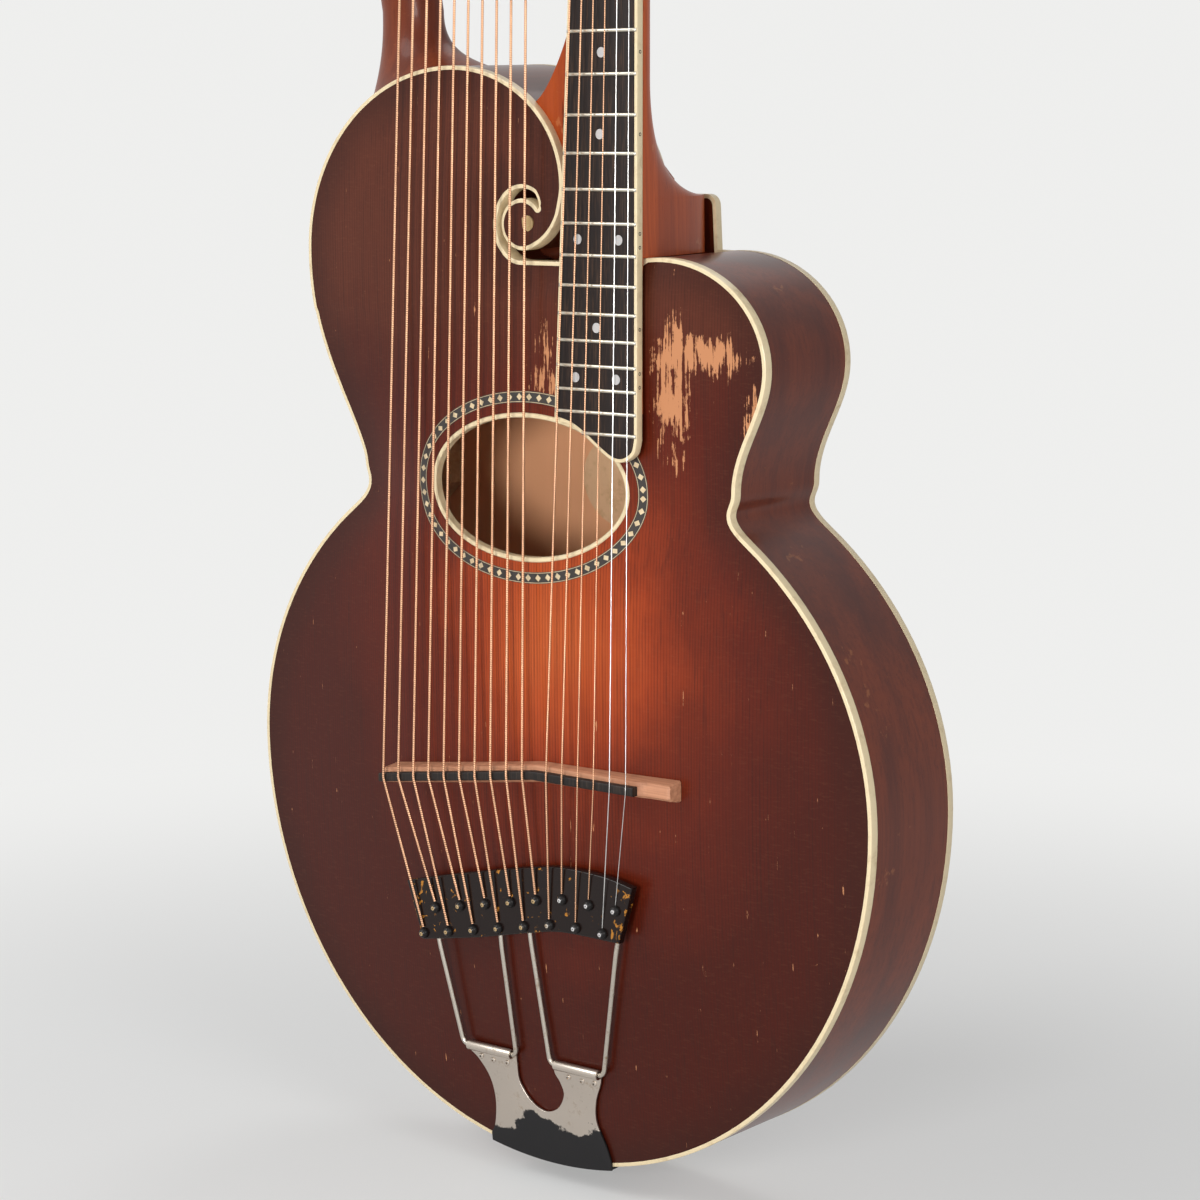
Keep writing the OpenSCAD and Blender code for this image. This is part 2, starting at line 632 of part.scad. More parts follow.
// The heads start past the nut, on a plane that leans back
head_y = fret12_height + nut_reach * cos(neck_set) + nut_thickness + seat;
head_z = board_z(head_y) - 3;
function lean(p) = [p.x, head_y + (p.z - head_z) * tan(head_tilt) - seat, p.z];
function neck_section(y, last = false) = let (
    top = board_z(y) - board_thickness - seat, bottom = neck_bottom(y), q = cove(y),
    power = 0.86 - 0.5 * q, hw = board_half(y), hh = heel_width / 2)
    concat([for (i = [0:section_steps]) let (
        a = 180 * i / section_steps, c = cos(a), v = pow(abs(sin(a)), power),
        w = (hw + (hh - hw) * v * q) * (abs(c) < eps ? 0 : sign(c) * pow(abs(c), power)),
        x = neck_offset + w)
        [x, last ? joint_y(x) + seat : y, top - 1 - (top - 1 - bottom) * v]],
        [for (x = [neck_offset - hw, neck_offset + hw]) [x, last ? joint_y(x) + seat : y, top]]);
neck_heights = concat([head_y - 12], [for (i = [1:4]) head_y + (heel_start - head_y) * i / 5],
    [for (i = [0:10]) heel_top + (heel_start - heel_top) * pow(1 - i / 10, 1.5)]);
// The root that joins the neck's bass side to the horn's wall, in levels from front to back
root_front = 5;
root_levels = [0, 0.06, 0.12, 0.2, 0.3, 0.45, 0.6, 0.8, 1];
root_leave = [35, 14];     // how the web's edge leaves the horn and reaches the neck
root_arrive = [6, 60];
root_height = 124;         // its height over the heel's top
root_gap = 0.6;            // between the root and the block's wall
module neck_root() {
    high = stations - 4;
    crown = high - 0.6;
    level = function(s) let (
        z = -root_front + (back_floor + root_front) * s,
        drop = pow(s, 0.55),
        top_station = crown - (crown - lip_station - 2.6) * drop,
        q = max(0, (z - block_front) / (back_floor - block_front)),
        corner = along(front_right[lip_station + 1], back_right[lip_station + 2], q) + [root_gap, -root_gap],
        wall = [for (k = [lip_station:high])
            let (r = min(k, top_station - (high - k) * 0.06), f = floor(r)) k == lip_station + 1 ? corner
            : along(wall_at(f, q, root_gap), wall_at(min(f + 1, stations - 1), q, root_gap), r - f)],
        y1 = heel_top + root_height - (root_height - 9) * drop,
        finish = [neck_offset - board_half(y1) + 0.6 + 9 * s, y1],
        web = bend(last(wall), root_leave * (1 - 0.9 * s), finish, root_arrive * (1 - 0.9 * s), 6),
        right = neck_offset - 12)
        [for (p = concat([[right, joint_height + 4], [right, y1]], flip_list(tail_of(web)), flip_list(wall),
            [[neck_left + 1, wall[0].y + 2], [neck_left + 1 + 8 * s, joint_height + 4]])) [p.x, p.y, z]];
    loft([for (s = flip_list(root_levels)) level(s)]);
}
// Wedge under the fingerboard's end, fitted to the carved top
module neck_tongue() {
    start = joint_height + 8;
    end = fret12_height + fret_at(last_fret - 1);
    loft([for (i = [0:6]) let (y = start + (end - start) * i / 6, hw = board_half(y) - 3) concat(
        [for (x = [-1:0.5:1]) let (p = [neck_offset + x * hw, y]) [p.x, p.y, top_z(p) + 0.5]],
        [for (x = [1, -1]) [neck_offset + x * hw, y, board_z(y) - board_thickness - seat]])]);
}
module neck() color(mahogany) union() {
    loft([for (ring = concat([[for (p = neck_section(head_y)) lean(p)]],
        [for (y = neck_heights) neck_section(y)], [neck_section(joint_height + 2, true)])) flip_list(ring)],
        true);
    neck_root();
    neck_tongue();
}

/* Heads, arm and nuts */
module on_head() translate([0, head_y, head_z]) rotate([-head_tilt, 0, 0]) children();
head_half = head_width / 2;
nut_half = nut_width / 2;
// Sub-bass strings: places at the saddle, the nut and the posts, from the lowest (0) to the highest (9)
bass_count = 10;
neck_count = 6;
function bass_saddle_x(k) = bass_last_x - (bass_count - 1 - k) * bass_spacing;
bass_drift = 9.5;          // of the sub-bass strings to the bass side, between saddle and nut
function bass_nut_x(k) = bass_last_x - bass_drift - (bass_count - 1 - k) * bass_nut_spacing;
// The last post's button turns clear of the neck's head
button_reach = button_width / 2 + 0.3;
function bass_post_last() = neck_offset - head_half - 4 - shaft_offset - button_reach - 2.5;
function bass_post_at(k) = [bass_post_last() - (bass_count - 1 - k) * bass_post_pitch, bass_post_line];
// Neck strings from the lowest (0): the outer pair goes to the nearest posts
neck_post_row = [118, 150, 182];
post_inset = 13;
function neck_side(k) = k < 3 ? -1 : 1;
function neck_post_at(k) =
    [neck_offset + neck_side(k) * (head_half - post_inset), neck_post_row[k < 3 ? k : 5 - k]];
function neck_saddle_x(k) = neck_offset + saddle_spread * (k / 5 - 0.5);
function neck_nut_x(k) = neck_offset + nut_spread * (k / 5 - 0.5);
arm_seat = 5;             // height of the sub-bass head's lower edge over the arm
crest = through([
    [neck_offset + nut_half, 0], [neck_offset + nut_half + 4, 26], [neck_offset + head_half - 2, 96],
    [neck_offset + head_half, head_length - 22], [neck_offset + head_half * 0.6, head_length - 5],
    [neck_offset, head_length], [neck_offset - head_half * 0.6, head_length - 5],
    [neck_offset - head_half, head_length - 22], [neck_offset - head_half + 2, harp_head_top + 30],
    [neck_offset - head_half - 4, harp_head_top + 6], [neck_offset - head_half - 18, harp_head_top]], 3);
arm_left = -arm_offset - arm_width / 2;
arm_right = -arm_offset + arm_width / 2;
end_round = 26;            // rounded corner at the sub-bass head's end
function bass_nut_s(x) = 14 + (x - bass_nut_x(0)) * tan(bridge_slope);
underside = through([
    [arm_right, arm_seat], [bass_nut_x(0) - 2, bass_nut_s(bass_nut_x(0)) - 6],
    [bass_nut_x(5), bass_nut_s(bass_nut_x(5)) - 7], [bass_nut_x(9), bass_nut_s(bass_nut_x(9)) - 7],
    [neck_offset - nut_half - 9, 13], [neck_offset - nut_half, 0]], 3);
head_path = concat(crest,
    arc([end_round - harp_head_end, harp_head_top - end_round], [end_round, end_round], 90, 180, 6),
    [[arm_left, arm_seat]],
    underside);
module at_posts(bass) {
    for (k = [0:(bass ? bass_count : neck_count) - 1])
        translate(bass ? bass_post_at(k) : neck_post_at(k)) children();
}
module headstock() color(mahogany) on_head() difference() {
    translate([0, 0, -head_thickness]) linear_extrude(head_thickness) polygon(head_path);
    for (bass = [true, false]) at_posts(bass)
        translate([0, 0, -head_thickness - 1])
            cylinder(r = post_radius + run_clearance, h = head_thickness + 2);
}
// The arm: a foot spread over the horn's rim, a ridged shaft, and a top that meets the head
arm_steps = 16;
arm_middle = -body_depth / 2;
function rim_y(x) = bass_centre.y + bass_half.y * sqrt(1 - pow((x - bass_centre.x) / bass_half.x, 2));
function ridge(a) = pow(abs(a), 0.9) * sign(a);
foot_sink = 6;             // drawn into the ribs, then cut back to fit them
module harp_arm() color(mahogany) difference() {
    foot_reach = 48;
    foot_x = -arm_offset + 11;
    flare_top = horn_top + 34;
    foot = function(u) [for (i = [0:arm_steps - 1]) let (
        a = 360 * i / arm_steps, g = pow(1 - u, 2.4),
        w = arm_width / 2 + (foot_reach - arm_width / 2) * g,
        d = arm_depth / 2 + (body_depth / 2 - binding_height - 3 - arm_depth / 2) * g,
        x = (foot_x * g - arm_offset * (1 - g)) + w * cos(a),
        y = (rim_y(max(x, -bass_bout_reach + 4)) - foot_sink) * (1 - u) + flare_top * u)
        [x, y, arm_middle + d * ridge(sin(a))]];
    top_y = head_y + arm_seat * cos(head_tilt);
    shaft = function(u) [for (i = [0:arm_steps - 1]) let (
        a = 360 * i / arm_steps, z = head_z - head_thickness / 2,
        d = arm_depth / 2 + (head_thickness / 2 - arm_depth / 2) * pow(u, 3))
        [-arm_offset + arm_width / 2 * cos(a), flare_top + (top_y - 14 - flare_top) * u,
         arm_middle + (z + 3 - arm_middle) * u + d * ridge(sin(a))]];
    top = [for (i = [0:arm_steps - 1]) let (
        a = 360 * i / arm_steps, s = arm_seat - seat,
        h = -head_thickness / 2 + head_thickness / 2 * ridge(sin(a)))
        [-arm_offset + arm_width / 2 * cos(a), head_y + s * cos(head_tilt) + h * sin(head_tilt),
         head_z - s * sin(head_tilt) + h * cos(head_tilt)]];
    loft([for (ring = concat([for (i = [0:5]) foot(i / 5)], [for (i = [1:4]) shaft(i / 4)], [top]))
        flip_list(ring)], true);
    translate([0, 0, -body_depth]) linear_extrude(body_depth)
        side_band(false, stations - 22, stations - 1, -seat, 4 * foot_sink);
}
// Height of the strings' plane at height y
nut_back = 0.7;            // left between the neck's nut and the head's leaning edge
nut_y = fret12_height + (nut_reach + nut_thickness - nut_back) * cos(neck_set);
nut_lift = fret_height + 1.1;
string_slope = tan(neck_set) + (action - nut_lift) / (nut_y - fret12_height);
function string_z(y) = board_z(fret12_height) + action - (y - fret12_height) * string_slope;
bass_radius = 0.8;
function neck_radius(k) = 0.62 - 0.08 * k;
// Places along the heads, from guitar coordinates
function head_rise(y) = (y - head_y) * sin(head_tilt) + (string_z(y) - head_z) * cos(head_tilt);
function bass_nut_h(x) = head_rise(head_y + bass_nut_s(x) / cos(head_tilt));
module nuts() color(ivoroid) {
    on_board() translate([-nut_half, nut_reach + seat, -board_thickness + seat]) difference() {
        cube([nut_width, nut_thickness - nut_back, board_thickness + nut_lift]);
        for (k = [0:neck_count - 1])
            translate([neck_nut_x(k) - neck_offset + nut_half, -1, board_thickness + nut_lift])
                rotate([-90, 0, 0]) cylinder(r = neck_radius(k) + 2 * seat, h = nut_thickness + 2);
    }
    on_head() {
        low = bass_nut_x(0) - 6;
        high = bass_nut_x(bass_count - 1) + 6;
        loft([for (x = [low, high]) let (s = bass_nut_s(x), h = bass_nut_h(x) - bass_radius - seat,
            t = nut_thickness / 2) [[x, s - t, seat], [x, s + t, seat], [x, s + t, h - 1.4], [x, s, h],
                [x, s - t, h - t * tan(head_tilt) - 0.2]]]);
    }
}

/* Tuners, in each post's own frame: x to the worm's side, y towards the button, z out of the head */
wheel_radius = wheel_teeth * worm_pitch / (2 * PI);
worm_root = 1.45;
worm_length = 3.5 * worm_pitch;
shaft_offset = wheel_radius + (worm_crest + worm_root) / 2 + run_clearance;
wheel_thickness = 1.2;
tooth_depth = 0.36;
wheel_z = -head_thickness - tuner_plate - worm_crest - play;
ear_thickness = 1.6;
ear_y = worm_length / 2 + play + ear_thickness / 2;
post_height = 11;
screw_head = 0.8;
screw_radius = 2.2;
winding_radius = post_radius + 0.9;
winding_z = 5.5;
winding_height = 5;
bass_button_y = harp_head_top - bass_post_line + 5;
neck_button_y = post_inset + 5;
button_thickness = 6;
module worm_wheel() {
    pitch = 360 / wheel_teeth;
    tooth = [[-0.3, -tooth_depth - 0.25], [-0.15, 0], [-0.05, tooth_depth], [0.05, tooth_depth],
        [0.15, 0], [0.3, -tooth_depth - 0.25]];
    linear_extrude(wheel_thickness) polygon([for (i = [0:wheel_teeth - 1], c = tooth)
        (wheel_radius + c.y) * [cos(pitch * (i + c.x)), sin(pitch * (i + c.x))]]);
}
module string_post() {
    foot = wheel_z - wheel_thickness / 2;
    translate([0, 0, foot]) worm_wheel();
    translate([0, 0, foot - screw_head]) cylinder(r = screw_radius, h = screw_head + 1);
    translate([0, 0, wheel_z]) cylinder(r = post_radius, h = post_height - wheel_z);
    translate([0, 0, winding_z - winding_height / 2]) cylinder(r = winding_radius, h = winding_height);
}
// The worm's thread: rings along its axis whose radius rises and falls with height and angle
worm_sides = 8;
worm_rings = 14;
module worm() {
    hand = worm_pitch * 0.75;
    ring = function(j) [for (i = [0:worm_sides - 1]) let (
        y = worm_length * (j / worm_rings - 0.5), a = 360 * i / worm_sides,
        f = (y - hand) / worm_pitch - a / 360, v = abs((f - floor(f)) * 2 - 1),
        thread = j == 0 || j == worm_rings ? 0 : clamp(v * 1.7 - 0.6, 0, 1),
        r = worm_root + (worm_crest - worm_root) * thread)
        [r * sin(a), y, r * cos(a)]];
    loft([for (j = [0:worm_rings]) ring(j)]);
}
module tuner_button(button_y) translate([shaft_offset, 0, wheel_z]) {
    back = ear_y + ear_thickness / 2 + 0.5;
    worm();
    translate([0, -back, 0]) rotate([-90, 0, 0]) cylinder(r = shaft_radius, h = button_y + back + 3);
    translate([0, button_y + button_width / 2, 0]) intersection() {
        translate([0, 0, -button_thickness / 2]) cylinder(d = button_width, h = button_thickness);
        sphere(r = button_reach);
    }
}
module neck_tuner(k) on_head() translate(neck_post_at(k))
    rotate([0, 0, neck_side(k) < 0 ? 90 : -90]) children();
module bass_tuner(k) on_head() translate(bass_post_at(k)) children();
module neck_post(k) color(nickel) neck_tuner(k) string_post();
module neck_button(k) color(ivoroid) neck_tuner(k) tuner_button(neck_button_y);
module bass_post(k) color(nickel) bass_tuner(k) string_post();
module bass_button(k) color(ivoroid) bass_tuner(k) tuner_button(bass_button_y);
// Plates on the back of the heads, with an ear on each side of every worm
module ear(y) translate([shaft_offset, y - ear_thickness / 2, wheel_z]) rotate([-90, 0, 0])
    linear_extrude(ear_thickness) difference() {
        rise = worm_crest + play + tuner_plate / 2;
        union() {
            circle(r = worm_crest);
            translate([-worm_crest, -rise]) square([2 * worm_crest, rise]);
        }
        circle(r = shaft_radius + run_clearance);
    }
module plate_over(a, b, low, high) translate([0, 0, -head_thickness - tuner_plate - seat])
    linear_extrude(tuner_plate) difference() {
        polygon([[a, low], [b, low], [b, high], [a, high]]);
        children();
    }
module tuner_plates() color(nickel) on_head() {
    reach = ear_y + 3;
    margin = 7;
    plate_over(bass_post_at(0).x - margin, bass_post_at(bass_count - 1).x + margin + shaft_offset - 2,
        bass_post_line - reach, bass_post_line + reach) at_posts(true) circle(r = post_radius + play);
    for (k = [0:bass_count - 1], side = [-1, 1]) translate(bass_post_at(k)) ear(side * ear_y);
    for (side = [-1, 1]) {
        x = neck_offset + side * (head_half - post_inset);
        plate_over(x - reach, x + reach, neck_post_row[0] - margin - shaft_offset + 2,
            neck_post_row[2] + margin + 2) at_posts(false) circle(r = post_radius + play);
    }
    for (k = [0:neck_count - 1], side = [-1, 1]) translate(neck_post_at(k))
        rotate([0, 0, neck_side(k) < 0 ? 90 : -90]) ear(side * ear_y);
}

/* Bridge */
saddle_line = fret12_height - nut_reach * cos(neck_set);
bridge_bend = (bass_last_x + neck_saddle_x(0)) / 2 - 3;
bridge_left = bass_saddle_x(0) - 5;
saddle_right = neck_saddle_x(neck_count - 1) + 5;
bridge_tail = 23;          // the base's bare end beyond the saddle strip
bridge_right = saddle_right + bridge_tail;
function saddle_y(x) = saddle_line - max(0, bridge_bend - x) * tan(bridge_slope);
saddle_top = string_z(saddle_line) - bass_radius - seat;
base_top = saddle_top - saddle_height;
module bridge_base() color([0.62, 0.36, 0.2]) {
    half = saddle_width / 2;
    xs = concat([for (i = [0:6]) along([bridge_left, 0], [bridge_bend, 0], i / 6).x],
        [for (i = [1:6]) along([bridge_bend, 0], [bridge_right, 0], i / 6).x]);
    loft([for (x = xs) let (y = saddle_y(x), foot = bridge_width / 2,
        low = function(v) top_z([x, y + v]) + play)
        [[x, y - foot, low(-foot)], [x, y, low(0)], [x, y + foot + 1, low(foot + 1)],
         [x, y + half + 3, base_top], [x, y - half, base_top]]]);
}
module bridge_saddle() color(ebony) difference() {
    translate([0, 0, base_top + seat]) linear_extrude(saddle_height - seat) polygon(concat(
        [for (x = [bridge_left, bridge_bend, saddle_right]) [x, saddle_y(x) - saddle_width / 2]],
        [for (x = [saddle_right, bridge_bend, bridge_left]) [x, saddle_y(x) + saddle_width / 2]]));
}

/* Tailpiece */
block_left = -96;
block_right = 87.5;
block_head = through([[block_left, -72], [-45, -59.6], [6.7, -48.5], [34, -44.7], [66, -45.6],
    [block_right, -49.5]], 3);
block_tail = through([[76.5, -85.5], [32.4, -85.6], [5.6, -90.3], [-35.5, -99.6], [-83.5, -108.6]], 3);
block_top = block_rise + block_thickness;
pin_radius = 1.7;
// Pins stand in two rows: even strings (from 0) in the lower row, odd ones in the upper
pin_pitch = 10.45;
function pin_x(k) = block_left + 14.2 + k * pin_pitch;
function pin_y(k) = let (x = pin_x(k)) -79 + 0.21 * min(x, 30 + (x - 30) * -0.05) + 8 * (k % 2 * 2 - 1);
module pin_holes(r) for (k = [0:15]) translate([pin_x(k), pin_y(k)]) circle(r = r);
module tailpiece_block() color([0.2, 0.09, 0.04]) translate([0, 0, block_rise])
    linear_extrude(block_thickness) difference() {
        polygon(concat(flip_list(block_tail), flip_list(block_head)));
        pin_holes(pin_radius + seat);
    }
module tailpiece_pins() color("black") for (k = [0:15]) translate([pin_x(k), pin_y(k), block_rise]) {
    cylinder(r = pin_radius, h = block_thickness + 1);
    translate([0, 0, block_thickness + seat]) intersection() {
        cylinder(r = 3.3, h = 4);
        sphere(r = 3.6);
    }
}
// Two bent wires, hooked under the block and hinged in the hanger's rolls
rod_radius = rod_diameter / 2;
hinge_y = -tail_drop + hinge_height;
hinge_z = 10;
wire_feet = [[[-78.5, -95], [-64, -20], [-24.5, -87]], [[-1, -80], [7.7, 50.7], [72, -78]]];
function tube_ring(p, u, v, r, sides) = [for (i = [0:sides - 1])
    p + r * (u * cos(360 * i / sides) + v * sin(360 * i / sides))];
// A tube through points, with mitred joints
module tube(points, r, sides = 8) {
    n = len(points);
    dirs = [for (i = [0:n - 2]) (points[i + 1] - points[i]) / norm(points[i + 1] - points[i])];
    rings = [for (i = [0:n - 1]) let (
        a = dirs[max(i - 1, 0)], b = dirs[min(i, n - 2)], m = (a + b) / norm(a + b),
        side0 = cross(m, [0, 0, 1]), side = side0 / norm(side0), up = cross(side, m))
        tube_ring(points[i], up, side, r, sides)];
    loft(rings);
}
knee_drop = 16;            // length of the wires' flat ends under the block
module tailpiece_rods() color(nickel) for (w = wire_feet) {
    under = block_rise - rod_radius - seat;
    left = [w[1].x, hinge_y, hinge_z];
    right = [w[1].y, hinge_y, hinge_z];
    a = [w[0].x, w[0].y, under];
    b = [w[2].x, w[2].y, under];
    ease_in = function(p, q) p + (q - p) / norm(q - p) * 3;
    knee = function(top, foot)
        [top.x + (foot.x - top.x) * knee_drop / (top.y - foot.y), top.y - knee_drop, under];
    tube([a, knee(a, left), ease_in(left, knee(a, left)), left + [1.2, -0.2, 0], left + [3.4, 0, 0],
        right - [3.4, 0, 0], right - [1.2, 0.2, 0], ease_in(right, knee(b, right)), knee(b, right), b],
        rod_radius);
}
hanger_gap = 0.3;
roll_radius = rod_radius + hanger_thickness;
// The tail's edge moved outwards by d, as far as the hanger reaches
tail_stations = 2;
module tail_area(d) {
    path = inset(front_path, -d);
    polygon(concat([[0, -tail_drop / 3]],
        [for (i = [-tail_stations:tail_stations]) path[(i + len(path)) % len(path)]]));
}
module hanger_outline() polygon(concat(
    through([[-62, 0], [-62, -3], [-54, -9], [-46, -20], [-43, -34], [-45, -50], [-49, -58]], 3),
    [[-49, -66], [-25, -70], [25, -70], [49, -66]],
    through([[49, -58], [46, -48], [40, -33], [41, -19], [46, -6], [46.5, 0]], 3),
    through([[9, 0], [9, -6], [13, -12], [15, -20], [9, -30], [-2, -34], [-13, -29], [-21, -18], [-22, -6],
        [-22, 0]], 3)));
module tailpiece_hanger() color(nickel) {
    slope = atan((hinge_z - roll_radius - hanger_gap) / (hinge_height - hanger_gap));
    outer = hanger_gap + hanger_thickness;
    difference() {
        union() {
            intersection() {
                translate([0, hinge_y, hinge_z - roll_radius]) rotate([slope, 0, 0])
                    linear_extrude(hanger_thickness) hanger_outline();
                translate([0, 0, -body_depth]) linear_extrude(2 * body_depth) tail_area(outer);
            }
            for (w = wire_feet) translate([w[1].x + 4, hinge_y, hinge_z]) rotate([0, 90, 0])
                cylinder(r = roll_radius, h = w[1].y - w[1].x - 8);
        }
        for (w = wire_feet) translate([w[1].x, hinge_y, hinge_z]) rotate([0, 90, 0])
            cylinder(r = rod_radius + seat, h = w[1].y - w[1].x);
    }
    // Tongue bent down over the ribs, with the end pin's hole
    difference() {
        intersection() {
            translate([0, 0, -body_depth]) linear_extrude(body_depth + outer) difference() {
                tail_area(outer);
                tail_area(hanger_gap);
            }
            translate([0, -tail_drop + 40, 0]) rotate([90, 0, 0]) linear_extrude(60)
                polygon([[-49, outer], [-46, -14], [-18, -34], [-16, -54], [16, -54], [18, -34], [46, -14],
                    [49, outer]]);
        }
        end_hole();
    }
}
pin_z = -body_depth / 2;
pin_length = 20;           // of the end pin's shank, through ribs and tail block
module end_hole() translate([0, -tail_drop + 30, pin_z]) rotate([90, 0, 0])
    cylinder(d = pin_diameter, h = 60);
module end_pin() color("black") translate([0, -tail_drop, pin_z]) rotate([90, 0, 0]) rotate_extrude() {
    shank = pin_diameter / 2 - seat;
    collar = hanger_thickness + hanger_gap + seat;
    polygon([[0, -pin_length], [shank, -pin_length], [shank, collar], [7, collar], [7, 3.6], [4.2, 4.6],
        [3.8, 7], [4.4, 9], [7.6, 10.2], [8, 12], [6.5, 13.6], [3, 14.5], [0, 14.7]]);
}

/* Strings, whole from their pins to their posts */
function to_guitar(x, s, h) = [x, head_y + s * cos(head_tilt) + h * sin(head_tilt),
    head_z - s * sin(head_tilt) + h * cos(head_tilt)];
function pin_point(k, r) = [pin_x(k), pin_y(k) + 3.4 + r, block_top + r + seat];
function saddle_point(x, r) = [x, saddle_y(x), saddle_top + r + seat];
module strings() color(bronze) {
    for (k = [0:bass_count - 1]) let (x = bass_nut_x(k), s = bass_nut_s(x), p = bass_post_at(k),
        r = bass_radius, side = x > p.x ? 1 : -1)
        tube([pin_point(k, r), saddle_point(bass_saddle_x(k), r), to_guitar(x, s, bass_nut_h(x)),
            to_guitar(p.x + side * (winding_radius + play + r), p.y, winding_z)], r);
    for (k = [0:neck_count - 1]) let (r = neck_radius(k), x = neck_nut_x(k), p = neck_post_at(k))
        tube([pin_point(k + bass_count, r), saddle_point(neck_saddle_x(k), r),
            [x, nut_y, board_z(nut_y) + nut_lift],
            to_guitar(p.x - neck_side(k) * (winding_radius + play + r), p.y, winding_z)], r);
}

// The whole instrument stands with its front towards -y, and its neck rests at the origin
cradle_drop = 20;          // from the nut line down to the place where a stand holds the neck
cradle_y = head_y - cradle_drop;
module stand_up() translate([-neck_offset, neck_bottom(cradle_y), -cradle_y]) rotate([90, 0, 0]) children();

stand_up() top_plate();
stand_up() back_plate();
stand_up() ribs();
stand_up() linings();
stand_up() braces();
stand_up() neck_block();
stand_up() tail_block();
stand_up() top_binding();
stand_up() back_binding();
stand_up() soundhole_binding();
stand_up() rosette();
stand_up() neck();
stand_up() fingerboard();
stand_up() fingerboard_binding();
stand_up() frets();
stand_up() inlays();
stand_up() nuts();
stand_up() harp_arm();
stand_up() headstock();
stand_up() tuner_plates();
stand_up() bridge_base();
stand_up() bridge_saddle();
stand_up() tailpiece_hanger();
stand_up() tailpiece_rods();
stand_up() tailpiece_block();
stand_up() tailpiece_pins();
stand_up() end_pin();
stand_up() strings();
for (k = [0:neck_count - 1]) {
    stand_up() neck_post(k);
    stand_up() neck_button(k);
}
for (k = [0:bass_count - 1]) {
    stand_up() bass_post(k);
    stand_up() bass_button(k);
}
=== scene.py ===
"""Harp guitar with a scrolled horn, an arm of ten sub-bass strings and a fretted neck of six.

Shapes are worked out in guitar millimetres: x runs to the treble side from the middle of the body,
y up the neck from the widest line of the lower bout, z out of the top from its edge.
"""
import logging
import math
from dataclasses import dataclass, field
from enum import Enum
from typing import Callable, Sequence

import bpy
import numpy as np
from mathutils import Matrix, Vector
from mathutils.geometry import delaunay_2d_cdt


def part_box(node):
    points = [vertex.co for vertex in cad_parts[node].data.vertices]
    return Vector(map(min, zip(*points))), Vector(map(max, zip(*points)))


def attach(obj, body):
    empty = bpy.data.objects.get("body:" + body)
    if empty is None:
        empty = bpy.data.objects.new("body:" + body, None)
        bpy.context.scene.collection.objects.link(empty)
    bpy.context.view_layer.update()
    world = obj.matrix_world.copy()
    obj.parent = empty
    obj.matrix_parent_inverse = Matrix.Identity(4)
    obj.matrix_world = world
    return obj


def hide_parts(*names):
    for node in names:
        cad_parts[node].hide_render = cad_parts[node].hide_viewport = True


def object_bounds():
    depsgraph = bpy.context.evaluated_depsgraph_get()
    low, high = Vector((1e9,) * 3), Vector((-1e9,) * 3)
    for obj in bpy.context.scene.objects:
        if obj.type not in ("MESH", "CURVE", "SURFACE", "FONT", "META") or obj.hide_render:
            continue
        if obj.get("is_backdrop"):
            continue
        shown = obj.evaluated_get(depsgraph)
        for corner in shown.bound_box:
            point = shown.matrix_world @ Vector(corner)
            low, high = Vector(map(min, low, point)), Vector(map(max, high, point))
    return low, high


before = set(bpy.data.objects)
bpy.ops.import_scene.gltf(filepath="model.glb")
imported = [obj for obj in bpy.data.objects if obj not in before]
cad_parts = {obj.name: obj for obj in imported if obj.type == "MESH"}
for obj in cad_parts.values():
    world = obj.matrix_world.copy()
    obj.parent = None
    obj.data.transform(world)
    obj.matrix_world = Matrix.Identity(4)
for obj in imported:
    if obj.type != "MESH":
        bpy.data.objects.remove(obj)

log = logging.getLogger("harp_guitar")
Array = np.ndarray
MM = 0.001


class Side(Enum):
    """The two sides of the neck's axis."""

    BASS = -1
    TREBLE = 1


class Axis(Enum):
    """The way that a wood's grain runs, as the stretch of its pattern along x, y and z."""

    ACROSS = (0.03, 1.0, 1.0)
    NECK = (1.0, 0.03, 1.0)
    DEPTH = (1.0, 1.0, 0.04)


# ---- places -----------------------------------------------------------------------------------


@dataclass(frozen=True)
class Placement:
    """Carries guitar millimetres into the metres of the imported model.

    Attributes:
        x: Place of the body's middle line.
        y: Place of the top's edge plane.
        z: Place of the lower bout's widest line.
    """

    x: float
    y: float
    z: float

    @classmethod
    def from_back_binding(cls, depth: float = 84.0, tail: float = 243.0) -> "Placement":
        """Reads the place from the box of the back binding, which spans the whole outline."""
        low, high = (np.array(corner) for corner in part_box("back_binding"))
        return cls(float(low[0] + high[0]) / 2, float(high[1]) - depth * MM, float(low[2]) + tail * MM)

    def to_row(self, points: Array) -> Array:
        """Returns points as (x, -z, y) in metres, moved to their place."""
        p = np.asarray(points, float)
        return np.stack([p[..., 0] * MM + self.x, -p[..., 2] * MM + self.y, p[..., 1] * MM + self.z], -1)

    @staticmethod
    def turn(direction: Sequence[float]) -> Vector:
        """Returns a direction as (x, -z, y)."""
        return Vector((direction[0], -direction[2], direction[1]))


PLACE = Placement.from_back_binding()


@dataclass(frozen=True)
class Lean:
    """A plane that leans back by an angle about a point, as the fingerboard and the heads do."""

    origin: tuple[float, float, float]
    degrees: float

    def out(self, points: Array) -> Array:
        """Turns points by the angle about x, then moves them to the origin."""
        p = np.asarray(points, float)
        c, s = math.cos(math.radians(self.degrees)), math.sin(math.radians(self.degrees))
        turned = [p[..., 0], p[..., 1] * c + p[..., 2] * s, p[..., 2] * c - p[..., 1] * s]
        return np.stack(turned, -1) + self.origin


# ---- curves in the plane ----------------------------------------------------------------------


def xy(x: Array, y: Array) -> Array:
    """Stacks two arrays as points in the plane."""
    return np.stack(np.broadcast_arrays(x, y), -1).astype(float)


